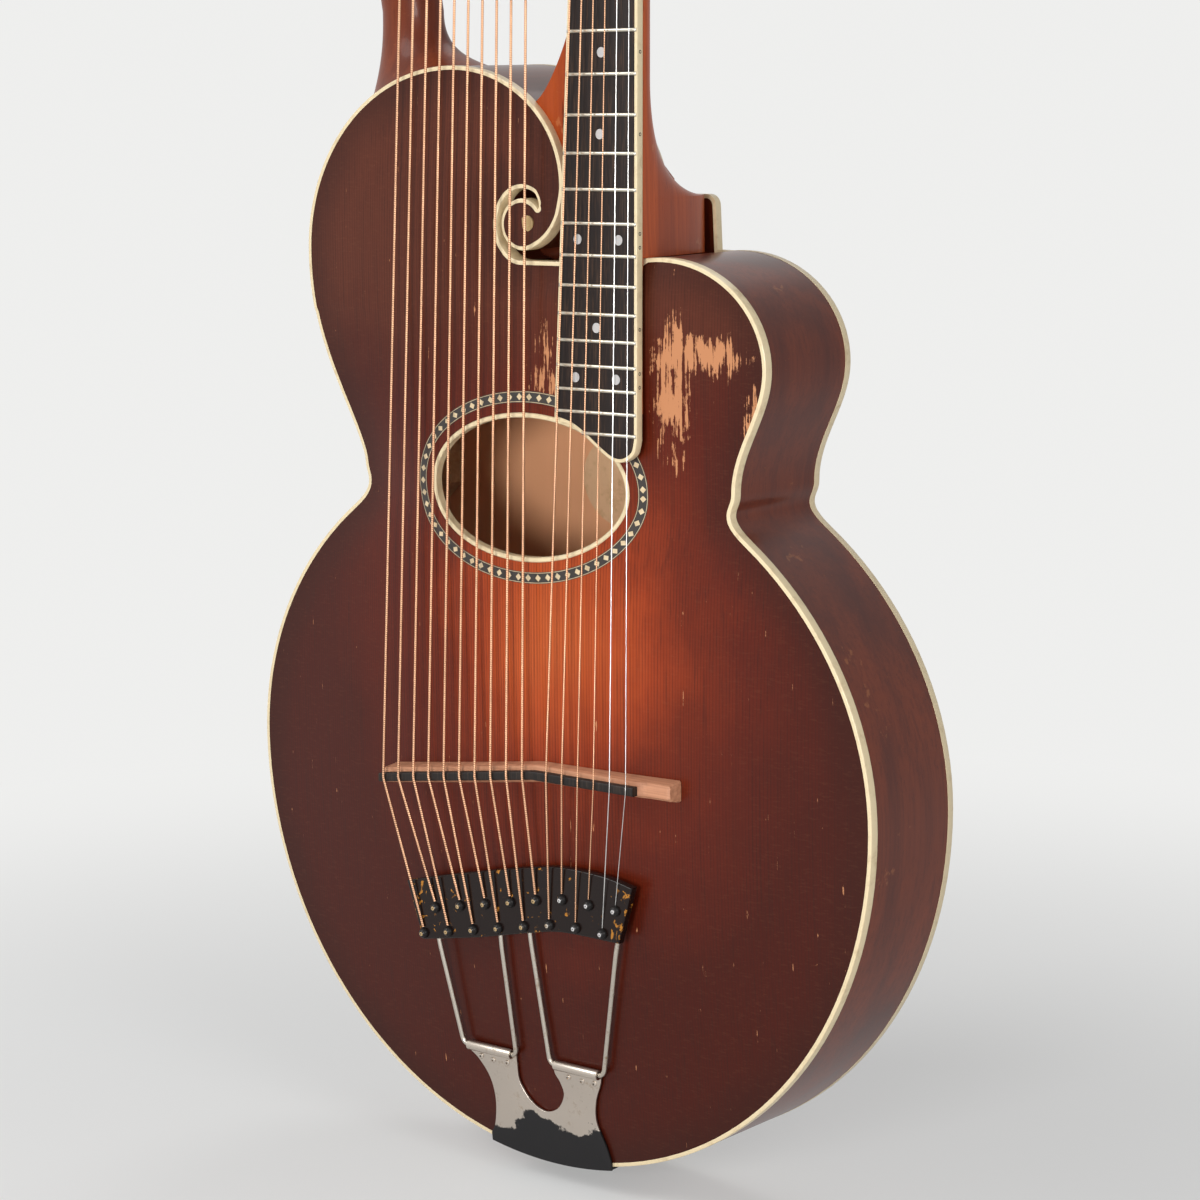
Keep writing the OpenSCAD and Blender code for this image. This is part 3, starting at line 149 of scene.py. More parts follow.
def ease(t: Array) -> Array:
    """Smooth step: 3 t squared less 2 t cubed, held between 0 and 1."""
    t = np.clip(t, 0, 1)
    return t * t * (3 - 2 * t)


def arc(centre: Sequence[float], half: Sequence[float], start: float, end: float, n: int) -> Array:
    """Returns n + 1 points of an ellipse: centre + half * (cos a, sin a), a in degrees."""
    a = np.radians(np.linspace(start, end, n + 1))
    return xy(centre[0] + half[0] * np.cos(a), centre[1] + half[1] * np.sin(a))


def circle(centre: Sequence[float], radius: float, n: int = 24) -> Array:
    """Returns n points round a circle."""
    return arc(centre, (radius, radius), 0, 360, n)[:-1]


def at_height(p: Array, z: Array | float) -> Array:
    """Lifts points of the plane to a height, or each to its own."""
    return np.column_stack([p, np.full(len(p), z)])


def bend(p: Array, u: Array, q: Array, v: Array, n: int) -> Array:
    """Returns a cubic that leaves p along u and reaches q along v (Hermite form)."""
    t = np.linspace(0, 1, n + 1)[:, None]
    p, u, q, v = (np.asarray(w, float) for w in (p, u, q, v))
    return (p * (1 + 2 * t) + u * t) * (1 - t) ** 2 + (q * (3 - 2 * t) - v * (1 - t)) * t * t


def through(knots: Sequence[Sequence[float]], n: int) -> Array:
    """Returns a smooth curve through knots (Catmull-Rom), n steps to each stretch."""
    k = np.asarray(knots, float)
    a, b, c, d = np.vstack([k[:1], k[:-2]]), k[:-1], k[1:], np.vstack([k[2:], k[-1:]])
    t = (np.arange(n) / n)[None, :, None]
    a, b, c, d = (w[:, None, :] for w in (a, b, c, d))
    curve = (2 * b + (c - a) * t + (2 * a - 5 * b + 4 * c - d) * t ** 2
             + (3 * b - a - 3 * c + d) * t ** 3) / 2
    return np.vstack([curve.reshape(-1, k.shape[1]), k[-1:]])


def inset(loop: Array, d: float) -> Array:
    """Moves a closed anticlockwise loop inwards by d, with mitred corners."""
    u = loop - np.roll(loop, 1, 0)
    v = np.roll(loop, -1, 0) - loop
    u /= np.linalg.norm(u, axis=1, keepdims=True) + 1e-9
    v /= np.linalg.norm(v, axis=1, keepdims=True) + 1e-9
    m = xy(-u[:, 1] - v[:, 1], u[:, 0] + v[:, 0])
    return loop + m * d / np.maximum((m * m).sum(1, keepdims=True) / 2, 0.5)


def beside(path: Array, d: float) -> Array:
    """Moves an open path to its left by d, along normals from its finite differences."""
    t = np.gradient(path, axis=0)
    t /= np.linalg.norm(t, axis=1, keepdims=True) + 1e-9
    return path + d * xy(-t[:, 1], t[:, 0])


def inside(points: Array, loop: Array) -> Array:
    """Tells which points lie in a loop, by counting the edges to the right of each."""
    a, b = loop, np.roll(loop, -1, 0)
    found = []
    for part in np.array_split(points, max(1, len(points) // 2000)):
        x, y = part[:, :1], part[:, 1:2]
        span = (a[:, 1] > y) != (b[:, 1] > y)
        rise = np.where(np.abs(b[:, 1] - a[:, 1]) < 1e-12, 1e-12, b[:, 1] - a[:, 1])
        found.append((span & (x < (b[:, 0] - a[:, 0]) * (y - a[:, 1]) / rise + a[:, 0])).sum(1) % 2 == 1)
    return np.concatenate(found)


def nearest(points: Array, loop: Array) -> Array:
    """Returns each point's distance to the nearest point of a dense loop."""
    return np.concatenate([np.sqrt(((part[:, None, :] - loop[None]) ** 2).sum(2).min(1))
                           for part in np.array_split(points, max(1, len(points) // 1000))])


def triangulate(loops: Sequence[Array], inner: Array | None = None) -> tuple[Array, Array]:
    """Fills the area inside the first loop and outside the others with triangles.

    Args:
        loops: The outline, then the holes.
        inner: More points to use inside the area.

    Returns:
        All points, loops first, and the triangles as rows of indices (constrained Delaunay).
    """
    points = np.vstack([*loops, *([inner] if inner is not None and len(inner) else [])])
    edges, start = [], 0
    for loop in loops:
        i = np.arange(len(loop))
        edges.append(np.stack([start + i, start + (i + 1) % len(loop)], 1))
        start += len(loop)
    result = delaunay_2d_cdt([Vector(p) for p in points.tolist()], np.vstack(edges).tolist(), [], 0, 1e-5)
    origin = np.array([o[0] if o else -1 for o in result[3]])
    tris = origin[np.array(result[2])]
    tris = tris[(tris >= 0).all(1)]
    middle = points[tris].mean(1)
    keep = inside(middle, loops[0])
    for hole in loops[1:]:
        keep &= ~inside(middle, hole)
    return points, tris[keep]


# ---- surfaces ---------------------------------------------------------------------------------


@dataclass
class Shell:
    """A closed surface, with a two-way map over its faces.

    Attributes:
        points: Places in millimetres, one row each.
        faces: Rows of four corners; a triangle repeats its last corner.
        uv: The map at each corner of each face.
        value: One number at each point, such as the distance to an edge.
    """

    points: Array
    faces: Array
    uv: Array
    value: Array

    def moved(self, change: Callable[[Array], Array]) -> "Shell":
        """Returns the shell with its points changed by a function."""
        return Shell(change(self.points), self.faces, self.uv, self.value)

    def outward(self) -> "Shell":
        """Returns the shell with faces pointing out: the sum of its corner volumes is positive."""
        p = self.points - self.points.mean(0)
        a, b, c, d = (p[self.faces[:, i]] for i in range(4))
        volume = (np.cross(a, b) * c).sum() + (np.cross(a, c) * d).sum()
        if volume >= 0:
            return self
        return Shell(self.points, self.faces[:, [0, 3, 2, 1]], self.uv[:, [0, 3, 2, 1]], self.value)


def join(shells: Sequence[Shell]) -> Shell:
    """Puts several closed shells, each turned outward, in one."""
    shells = [s.outward() for s in shells]
    starts = np.cumsum([0] + [len(s.points) for s in shells[:-1]])
    return Shell(np.vstack([s.points for s in shells]),
                 np.vstack([s.faces + k for s, k in zip(shells, starts)]),
                 np.vstack([s.uv for s in shells]), np.concatenate([s.value for s in shells]))


def sweep(rings: Array, closed: bool = False, step: float = 1.0) -> Shell:
    """Joins rings of equal count into a closed surface.

    Args:
        rings: Places, ring by ring, each ring closed on itself.
        closed: Whether the last ring meets the first; otherwise fans close both ends.
        step: Millimetres of the map along the way.

    Returns:
        The surface; the map runs along in millimetres / step and once around.
    """
    rings = np.asarray(rings, float)
    m, n = rings.shape[:2]
    points = rings.reshape(-1, 3)
    hops = np.linalg.norm(np.diff(np.vstack([rings, rings[:1]]), axis=0).mean(1), axis=-1)
    along = np.concatenate([[0], np.cumsum(hops)]) / step
    i, j = (w.ravel() for w in np.meshgrid(np.arange(m if closed else m - 1), np.arange(n), indexing="ij"))
    k, l = (i + 1) % m, (j + 1) % n
    faces = np.stack([i * n + j, k * n + j, k * n + l, i * n + l], 1)
    uv = np.stack([xy(along[i], j / n), xy(along[i + 1], j / n), xy(along[i + 1], (j + 1) / n),
                   xy(along[i], (j + 1) / n)], 1)
    if not closed:
        points = np.vstack([points, rings[0].mean(0), rings[-1].mean(0)])
        j = np.arange(n)
        l = (j + 1) % n
        near = np.stack([j, l, np.full(n, m * n), np.full(n, m * n)], 1)
        far = np.stack([(m - 1) * n + l, (m - 1) * n + j, np.full(n, m * n + 1), np.full(n, m * n + 1)], 1)
        faces = np.vstack([faces, near, far])
        uv = np.vstack([uv, np.zeros((n, 4, 2)), np.full((n, 4, 2), along[m - 1])])
    return Shell(points, faces, uv, np.zeros(len(points)))


def turns_left(flat: Array, tris: Array) -> bool:
    """Tells whether the triangles run anticlockwise, by the area of the first."""
    a, b, c = (flat[tris[0, i]] for i in range(3))
    return bool((b[0] - a[0]) * (c[1] - a[1]) - (b[1] - a[1]) * (c[0] - a[0]) > 0)


def walls(loops: Sequence[Array], lower: int) -> Array:
    """Returns the quads between loops on the upper side and the same loops on the lower side."""
    rows, start = [], 0
    for loop in loops:
        i = start + np.arange(len(loop))
        k = start + (np.arange(len(loop)) + 1) % len(loop)
        rows.append(np.stack([i, i + lower, k + lower, k], 1))
        start += len(loop)
    return np.vstack(rows)


def plate(loops: Sequence[Array], upper: Callable[[Array], Array], lower: Callable[[Array], Array],
          spacing: float = 5.0) -> Shell:
    """Makes a carved plate: the area between loops, with a height for each point on both sides.

    Args:
        loops: Outline and holes.
        upper: Height of the outer face at each point.
        lower: Height of the inner face at each point.
        spacing: Distance between the points of the hexagonal grid inside.

    Returns:
        The closed plate; its value is 0 on the upper face and 1 on the lower.
    """
    low, high = loops[0].min(0), loops[0].max(0)
    gx, gy = np.meshgrid(np.arange(low[0], high[0], spacing), np.arange(low[1], high[1], spacing * 0.866))
    gx = gx + (np.arange(len(gx)) % 2 * spacing / 2)[:, None]
    grid = xy(gx.ravel(), gy.ravel())
    keep = inside(grid, loops[0]) & (nearest(grid, np.vstack(loops)) > spacing * 0.6)
    for hole in loops[1:]:
        keep &= ~inside(grid, hole)
    flat, tris = triangulate(loops, grid[keep])
    n = len(flat)
    points = np.vstack([np.column_stack([flat, upper(flat)]), np.column_stack([flat, lower(flat)])])
    tris = tris[:, [0, 1, 2, 2]]
    quads = walls(loops, n)
    if not turns_left(flat, tris):
        tris = tris[:, [2, 1, 0, 0]]
    faces = np.vstack([tris, tris[:, [2, 1, 0, 0]] + n, quads])
    uv = np.vstack([flat, flat])[faces]
    return Shell(points, faces, uv, np.repeat([0.0, 1.0], n))


def prism(loop: Array, low: float, high: float, bevel: float = 0.4, holes: Sequence[Array] = (),
          steps: int = 3) -> Shell:
    """Makes a flat piece of one outline with rounded edges and plain holes.

    The edge follows a quarter circle at each end: in by bevel (1 - sin a), up by bevel (1 - cos a).
    """
    a = np.linspace(0, math.pi / 2, steps + 1)
    depth = np.concatenate([bevel * (1 - np.sin(a)), (bevel * (1 - np.sin(a)))[::-1]])
    height = np.concatenate([low + bevel * (1 - np.cos(a)), (high - bevel * (1 - np.cos(a)))[::-1]])
    rings = np.stack([at_height(inset(loop, d), h) for d, h in zip(depth, height)])
    m, n = rings.shape[:2]
    points = rings.reshape(-1, 3)
    i, j = (w.ravel() for w in np.meshgrid(np.arange(m - 1), np.arange(n), indexing="ij"))
    l = (j + 1) % n
    sides = np.stack([i * n + j, i * n + l, (i + 1) * n + l, (i + 1) * n + j], 1)
    flat, tris = triangulate([rings[0][:, :2], *holes])
    extra = flat[n:]
    count = len(extra)
    base = m * n
    points = np.vstack([points, np.column_stack([extra, np.full(count, low)]),
                        np.column_stack([extra, np.full(count, high)])])
    bottom = np.where(tris < n, tris, tris - n + base)
    top = np.where(tris < n, tris + (m - 1) * n, tris - n + base + count)
    if turns_left(flat, tris):
        bottom = bottom[:, ::-1]
    else:
        top = top[:, ::-1]
    faces = [sides, bottom[:, [0, 1, 2, 2]], top[:, [0, 1, 2, 2]]]
    if count:
        quads = walls(holes, count)
        upper = quads + base + count
        upper[:, 1:3] -= 2 * count
        faces.append(upper)
    faces = np.vstack(faces)
    return Shell(points, faces, points[faces][..., :2], np.zeros(len(points)))


def tube(path: Array, radius: float | Array, sides: int = 10, up: Sequence[float] = (0, 0, 1)) -> Shell:
    """Carries a circle along a path: each ring is square to the mean of its two directions."""
    path = np.asarray(path, float)
    t = np.diff(path, axis=0)
    t /= np.linalg.norm(t, axis=1, keepdims=True) + 1e-12
    t = np.vstack([t[:1], t[:-1] + t[1:], t[-1:]])
    t /= np.linalg.norm(t, axis=1, keepdims=True) + 1e-12
    s = np.cross(t, np.asarray(up, float))
    s /= np.linalg.norm(s, axis=1, keepdims=True) + 1e-12
    w = np.cross(s, t)
    a = np.linspace(0, 2 * math.pi, sides, endpoint=False)
    r = np.broadcast_to(radius, (len(path),))[:, None, None]
    rings = path[:, None, :] + r * (w[:, None] * np.cos(a)[None, :, None]
                                    + s[:, None] * np.sin(a)[None, :, None])
    return sweep(rings)


def rounded(points: Sequence[Sequence[float]], reach: float, n: int = 6) -> Array:
    """Rounds the corners of a path with parabolas that begin at most reach before each corner."""
    p = np.asarray(points, float)
    out = [p[:1]]
    t = np.linspace(0, 1, n + 1)[:, None]
    for a, b, c in zip(p[:-2], p[1:-1], p[2:]):
        u, v = a - b, c - b
        lu, lv = np.linalg.norm(u), np.linalg.norm(v)
        k = min(reach, lu * 0.49, lv * 0.49)
        start, end = b + u / lu * k, b + v / lv * k
        out.append(start * (1 - t) ** 2 + 2 * b * t * (1 - t) + end * t * t)
    return np.vstack([*out, p[-1:]])


def revolve(profile: Sequence[Sequence[float]], sides: int = 32) -> Shell:
    """Turns a profile of (radius, height) about z; fans close both ends."""
    p = np.asarray(profile, float)
    a = np.linspace(0, 2 * math.pi, sides, endpoint=False)
    rings = np.stack([p[:, :1] * np.cos(a), p[:, :1] * np.sin(a), np.repeat(p[:, 1:2], sides, 1)], -1)
    return sweep(rings)


def add_piece(name: str, shell: Shell, finish: "Finish", replaces: Sequence[str] = (),
              body: str = "guitar", crease: float = 32.0) -> bpy.types.Object:
    """Makes a Blender object of a shell, dresses it and lets it ride.

    Args:
        name: Name of the piece.
        shell: Surface in guitar millimetres.
        finish: What it is finished with.
        replaces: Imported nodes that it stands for.
        body: Body that it moves with.
        crease: Angle past which an edge stays sharp.

    Returns:
        The new object.
    """
    shell = shell.outward()
    faces, uv = shell.faces, shell.uv
    is_tri = faces[:, 2] == faces[:, 3]
    counts = np.where(is_tri, 3, 4)
    mask = np.ones(faces.shape, bool)
    mask[is_tri, 3] = False
    loops = faces[mask]
    mesh = bpy.data.meshes.new(name)
    mesh.vertices.add(len(shell.points))
    mesh.vertices.foreach_set("co", PLACE.to_row(shell.points).astype(np.float32).ravel())
    mesh.loops.add(len(loops))
    mesh.loops.foreach_set("vertex_index", loops.astype(np.int32))
    mesh.polygons.add(len(faces))
    mesh.polygons.foreach_set("loop_start", np.concatenate([[0], np.cumsum(counts)[:-1]]).astype(np.int32))
    layer = mesh.uv_layers.new(name="map")
    layer.uv.foreach_set("vector", uv[mask].astype(np.float32).ravel())
    depth = mesh.attributes.new("depth", "FLOAT", "POINT")
    depth.data.foreach_set("value", shell.value.astype(np.float32))
    mesh.update(calc_edges=True)
    mesh.validate()
    mesh.polygons.foreach_set("use_smooth", np.ones(len(mesh.polygons), bool))
    mesh.set_sharp_from_angle(angle=math.radians(crease))
    mesh.materials.append(finish.material())
    piece = bpy.data.objects.new(name, mesh)
    bpy.context.scene.collection.objects.link(piece)
    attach(piece, body)
    if replaces:
        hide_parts(*replaces)
    log.info("%s: %d faces on %s", name, len(mesh.polygons), body)
    return piece


def dress(node: str, finish: "Finish") -> None:
    """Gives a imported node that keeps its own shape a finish."""
    mesh = bpy.data.objects[node].data
    mesh.materials.clear()
    mesh.materials.append(finish.material())
    log.info("%s: keeps its solid", node)


# ---- shader maths -----------------------------------------------------------------------------


class Socket:
    """Wraps an output socket, so that shader maths reads as plain expressions."""

    def __init__(self, paint: "Paint", link: bpy.types.NodeSocket) -> None:
        """Keeps the tree's painter and the socket."""
        self.paint, self.link = paint, link

    def _math(self, operation: str, *values: "Socket | float") -> "Socket":
        """Adds one Math node."""
        return self.paint.node("ShaderNodeMath", {"operation": operation}, dict(enumerate(values)))

    def __add__(self, other: "Socket | float") -> "Socket":
        """Sum."""
        return self._math("ADD", self, other)

    def __sub__(self, other: "Socket | float") -> "Socket":
        """Difference."""
        return self._math("SUBTRACT", self, other)

    def __rsub__(self, other: "Socket | float") -> "Socket":
        """Difference, turned round."""
        return self._math("SUBTRACT", other, self)

    def __mul__(self, other: "Socket | float") -> "Socket":
        """Product."""
        return self._math("MULTIPLY", self, other)

    def __truediv__(self, other: "Socket | float") -> "Socket":
        """Quotient."""
        return self._math("DIVIDE", self, other)

    def __rtruediv__(self, other: "Socket | float") -> "Socket":
        """Quotient, turned round."""
        return self._math("DIVIDE", other, self)

    def __pow__(self, other: "Socket | float") -> "Socket":
        """Power."""
        return self._math("POWER", self, other)

    def __abs__(self) -> "Socket":
        """Size without sign."""
        return self._math("ABSOLUTE", self)

    __radd__ = __add__
    __rmul__ = __mul__

    def of(self, operation: str, *others: "Socket | float") -> "Socket":
        """Any other Math operation, such as MINIMUM, MAXIMUM, FRACT or SINE."""
        return self._math(operation, self, *others)

    def between(self, low: float, high: float) -> "Socket":
        """Smooth step from 0 at low to 1 at high."""
        return self.paint.node("ShaderNodeMapRange", {"interpolation_type": "SMOOTHSTEP"},
                               {"Value": self, "From Min": low, "From Max": high})


Color = tuple[float, float, float]


class Paint:
    """Builds one material's nodes, with places read in guitar millimetres."""

    def __init__(self, name: str) -> None:
        """Starts an empty material of this name."""
        self.made = bpy.data.materials.new(name)
        self.made.use_nodes = True
        self.tree = self.made.node_tree
        self.tree.nodes.clear()
        coordinates = self.node("ShaderNodeTexCoord", {}, {}, "Object")
        self.place = self.node("ShaderNodeVectorMath", {"operation": "MULTIPLY_ADD"},
                               {0: coordinates, 1: (1 / MM,) * 3,
                                2: (-PLACE.x / MM, -PLACE.y / MM, -PLACE.z / MM)}, "Vector")
        self.x, depth, self.y = (self.node("ShaderNodeSeparateXYZ", {}, {0: self.place}, k) for k in "XYZ")
        self.z = 0 - depth

    def node(self, kind: str, settings: dict, inputs: dict, output: int | str = 0) -> Socket:
        """Adds one node.

        Args:
            kind: Type of the node.
            settings: Its properties, which are set first; stops are a ramp's places and colours.
            inputs: Values or sockets by input name or number.
            output: The output that is wanted.

        Returns:
            The output, wrapped.
        """
        made = self.tree.nodes.new(kind)
        for key, value in settings.items():
            if key == "stops":
                ramp = made.color_ramp.elements
                while len(ramp) < len(value):
                    ramp.new(0.5)
                for stop, (at, color) in zip(ramp, value):
                    stop.position, stop.color = at, (*color, 1)
            else:
                setattr(made, key, value)
        for key, value in inputs.items():
            target = made.inputs[key]
            if isinstance(value, Socket):
                self.tree.links.new(value.link, target)
            elif isinstance(value, tuple) and len(value) == 3 and target.type == "RGBA":
                target.default_value = (*value, 1)
            else:
                target.default_value = value
        return Socket(self, made.outputs[output])

    def stretched(self, scale: Sequence[float]) -> Socket:
        """Returns the place times a scale along the guitar's x, y and z."""
        return self.node("ShaderNodeVectorMath", {"operation": "MULTIPLY"},
                         {0: self.place, 1: (scale[0], scale[2], scale[1])}, "Vector")

    def noise(self, size: float, axis: Sequence[float] = (1, 1, 1), detail: float = 3.0,
              rough: float = 0.55, warp: float = 0.0) -> Socket:
        """Returns noise whose blobs are about size millimetres wide, stretched along an axis."""
        return self.node("ShaderNodeTexNoise", {}, {"Vector": self.stretched([a / size for a in axis]),
                                                    "Scale": 1.0, "Detail": detail, "Roughness": rough,
                                                    "Distortion": warp}, "Fac")

    def mix(self, factor: Socket | float, a: Socket | Color, b: Socket | Color, blend: str = "MIX") -> Socket:
        """Mixes two colours."""
        return self.node("ShaderNodeMix", {"data_type": "RGBA", "blend_type": blend},
                         {0: factor, 6: a, 7: b}, 2)

    def ramp(self, factor: Socket, stops: Sequence[tuple[float, Color]]) -> Socket:
        """Reads a colour ramp."""
        return self.node("ShaderNodeValToRGB", {"stops": stops}, {0: factor}, "Color")

    def value(self, name: str) -> Socket:
        """Reads a number that the mesh carries."""
        return self.node("ShaderNodeAttribute", {"attribute_name": name}, {}, "Fac")

    def map(self) -> tuple[Socket, Socket]:
        """Returns the piece's own map: along and around."""
        uv = self.node("ShaderNodeUVMap", {"uv_map": "map"}, {}, "UV")
        return tuple(self.node("ShaderNodeSeparateXYZ", {}, {0: uv}, k) for k in "XY")

    def surface(self, color: Socket | Color, roughness: Socket | float, height: Socket | None = None,
                depth_mm: float = 0.1, strength: float = 0.5,
                **plain: float | Socket | Color) -> bpy.types.Material:
        """Ends the material with one shader.

        Args:
            color: Base colour.
            roughness: Roughness.
            height: Height of a bump between 0 and 1.
            depth_mm: How deep that bump is.
            strength: Its strength.
            plain: Further inputs of the shader, with _ for a blank.

        Returns:
            The finished material.
        """
        inputs = {"Base Color": color, "Roughness": roughness}
        inputs.update({key.replace("_", " "): value for key, value in plain.items()})
        if height is not None:
            inputs["Normal"] = self.node("ShaderNodeBump", {}, {"Height": height, "Distance": depth_mm * MM,
                                                                "Strength": strength}, "Normal")
        shader = self.node("ShaderNodeBsdfPrincipled", {}, inputs, "BSDF")
        self.node_output(shader)
        return self.made

    def node_output(self, shader: Socket, kind: str = "ShaderNodeOutputMaterial") -> None:
        """Links the shader to the tree's one output, which is made on the first call."""
        outs = [node for node in self.tree.nodes if node.bl_idname == kind]
        out = outs[0] if outs else self.tree.nodes.new(kind)
        self.tree.links.new(shader.link, out.inputs["Surface"])

    @classmethod
    def on(cls, tree: bpy.types.NodeTree) -> "Paint":
        """Paints on the nodes of a world, which are cleared first."""
        paint = cls.__new__(cls)
        paint.tree = tree
        tree.nodes.clear()
        return paint


# ---- finishes ---------------------------------------------------------------------------------


class Finish:
    """A finish makes its material once and then hands it out."""

    name: str

    def material(self) -> bpy.types.Material:
        """Returns the material, made on the first call."""
        key = f"{self.name}_finish"
        return bpy.data.materials.get(key) or self.paint(Paint(key))

    def paint(self, p: Paint) -> bpy.types.Material:
        """Builds the nodes."""
        raise NotImplementedError


@dataclass(frozen=True)
class Varnish(Finish):
    """Varnished wood: a slow change of tone, fine streaks of pores along the grain, and light wear."""

    name: str
    dark: Color
    light: Color
    axis: Axis
    gloss: float = 0.34
    coat: float = 0.5
    figure: float = 14.0
    worn: Color | None = None
    inner: Color | None = None

    def paint(self, p: Paint) -> bpy.types.Material:
        """Tone by broad noise, pores by noise drawn out along the grain, scratches in the gloss."""
        a = self.axis.value
        broad = p.noise(self.figure * 3, a, 4, 0.6, 0.4)
        pores = p.noise(0.55, a, 2, 0.6)
        streak = p.noise(2.6, a, 3, 0.6)
        color = p.mix(broad.between(0.3, 0.7), self.dark, self.light)
        color = p.mix(streak.between(0.42, 0.68) * 0.45, color, self.dark)
        color = p.mix(pores.between(0.60, 0.72) * 0.6, color, tuple(c * 0.35 for c in self.dark))
        scratch = p.noise(1.1, (0.12, 1.0, 0.5), 2, 0.5, 1.2).between(0.69, 0.74)
        if self.worn:
            patch = (p.noise(46, (1, 1, 1), 6, 0.65) + p.noise(5, (1, 1, 1), 3) * 0.25).between(0.80, 0.84)
            color = p.mix(patch * 0.55 + scratch * 0.3, color, self.worn)
        if self.inner:
            # Colour of the inner face: bare wood, and on the back also painted light, paler than that wood.
            color = p.mix(p.value("depth").between(0.55, 0.75), color, self.inner)
        rough = self.gloss + broad * 0.14 + scratch * 0.2
        return p.surface(color, rough, pores, 0.05, 0.35, Specular_IOR_Level=0.16,
                         Coat_Weight=self.coat * 0.5, Coat_IOR=1.38, Coat_Roughness=0.1)


@dataclass(frozen=True)
class Sunburst(Finish):
    """Carved spruce under a sunburst: amber in the middle, red, then dark brown at the edge."""

    name: str = "sunburst_top"
    burst: tuple = ((0.0, (0.48, 0.095, 0.022)), (0.18, (0.41, 0.066, 0.014)), (0.33, (0.28, 0.037, 0.008)),
                    (0.47, (0.145, 0.017, 0.004)), (0.64, (0.095, 0.010, 0.003)),
                    (0.95, (0.055, 0.006, 0.002)))
    horn: Color = (0.105, 0.026, 0.012)
    rim: Color = (0.030, 0.006, 0.003)
    line: Color = (0.030, 0.007, 0.004)
    bare: Color = (0.55, 0.24, 0.11)
    inner: Color = (0.62, 0.42, 0.24)
    worn: tuple = ((106, 246, 15, 46, 1.0), (128, 268, 36, 13, 0.95), (162, 226, 8, 32, 0.9),
                   (160, 176, 6, 24, 0.9), (13, 258, 13, 24, 0.62))

    def paint(self, p: Paint) -> bpy.types.Material:
        """An oval glow below the hole, darkened by the mesh's distance to the edge; lines are the grain.

        Each worn place is an oval (x, y, half width, half height, strength), which streaks along the
        grain break up into a comb.
        """
        edge = p.value("depth")
        drift = p.noise(55, detail=4) - 0.5
        far = (((p.x - 24.0) / 130.0) ** 2.0 + ((p.y - 98.0) / 150.0) ** 2.0) ** 0.5
        color = p.ramp((far + drift * 0.5) / 1.6, list(self.burst))
        color = p.mix((p.y + drift * 90.0).between(225.0, 310.0) * 0.7, color, self.horn)
        color = p.mix((1.0 - (edge + drift * 24.0).between(0.0, 34.0)) * 0.62, color, self.rim)
        bend = (p.noise(90, (1, 0.12, 1), 2) - 0.5) * 7.0
        ring = ((p.x / 2.15 + bend) * (2 * math.pi)).of("SINE").between(0.45, 1.0)
        grain = p.noise(1.3, (1.0, 0.012, 1.0), 2, 0.5)
        silk = p.noise(1.6, (0.3, 1.4, 1.0), 3, 0.6)
        color = p.mix(ring * (0.18 + grain * 0.42), color, self.line)
        color = p.mix(grain.between(0.5, 0.72) * 0.30, color, self.line)
        color = p.mix(silk.between(0.5, 0.75) * 0.025, color, self.bare)
        places = [(1.0 - (((p.x - x) / rx) ** 2.0 + ((p.y - y) / ry) ** 2.0)) * k
                  for x, y, rx, ry, k in self.worn]
        spot = places[0]
        for other in places[1:]:
            spot = spot.of("MAXIMUM", other)
        comb = p.noise(1.9, (1.0, 0.05, 1.0), 3, 0.6)
        torn = p.noise(8.0, (1.0, 0.6, 1.0), 6, 0.7)
        bare = (spot.of("MAXIMUM", -0.6) * 0.5 + (comb - 0.5) * 1.9 + (torn - 0.5) * 1.7).between(0.22, 0.34)
        color = p.mix(bare * 0.9, color, self.bare)
        dings = p.noise(4.0, (1, 0.5, 1), 4, 0.7).between(0.74, 0.77)
        color = p.mix(dings * 0.5, color, self.bare)
        color = p.mix((0 - edge).between(0.5, 1.0), color, self.inner)
        rough = 0.30 + bare * 0.26 + p.noise(24, detail=4) * 0.12
        return p.surface(color, rough, grain, 0.06, 0.4, Specular_IOR_Level=0.15, Coat_Weight=0.16,
                         Coat_IOR=1.38, Coat_Roughness=0.14)


@dataclass(frozen=True)
class Ivoroid(Finish):
    """Aged ivoroid: cream with faint bands, brown stains and a soft shine."""

    name: str = "binding"
    fresh: Color = (0.74, 0.60, 0.37)
    stain: Color = (0.38, 0.235, 0.10)

    def paint(self, p: Paint) -> bpy.types.Material:
        """Stains by rough noise, bands by stretched noise."""
        stain = (p.noise(11, detail=6, rough=0.7)).between(0.48, 0.78)
        bands = p.noise(1.6, (1, 1, 0.1), 2)
        color = p.mix(stain * 0.6, self.fresh, self.stain)
        color = p.mix(bands * 0.2, color, (0.86, 0.76, 0.55))
        return p.surface(color, 0.36 + stain * 0.2, bands, 0.03, 0.2, Specular_IOR_Level=0.4, Coat_Weight=0.1)


@dataclass(frozen=True)
class Ebony(Finish):
    """Dark close wood, or turned black: fine pores, and paths worn by playing."""

    name: str = "ebony"
    tone: Color = (0.014, 0.009, 0.008)
    lift: Color = (0.050, 0.027, 0.017)
    gloss: float = 0.38

    def paint(self, p: Paint) -> bpy.types.Material:
        """Streaks along the neck, paler and duller where worn."""
        streak = p.noise(1.2, (1, 0.04, 1), 3)
        worn = p.noise(20, (1, 0.6, 1), 4)
        color = p.mix(streak.between(0.45, 0.75), self.tone, self.lift)
        return p.surface(color, self.gloss + worn * 0.22, streak, 0.05, 0.35, Specular_IOR_Level=0.22)


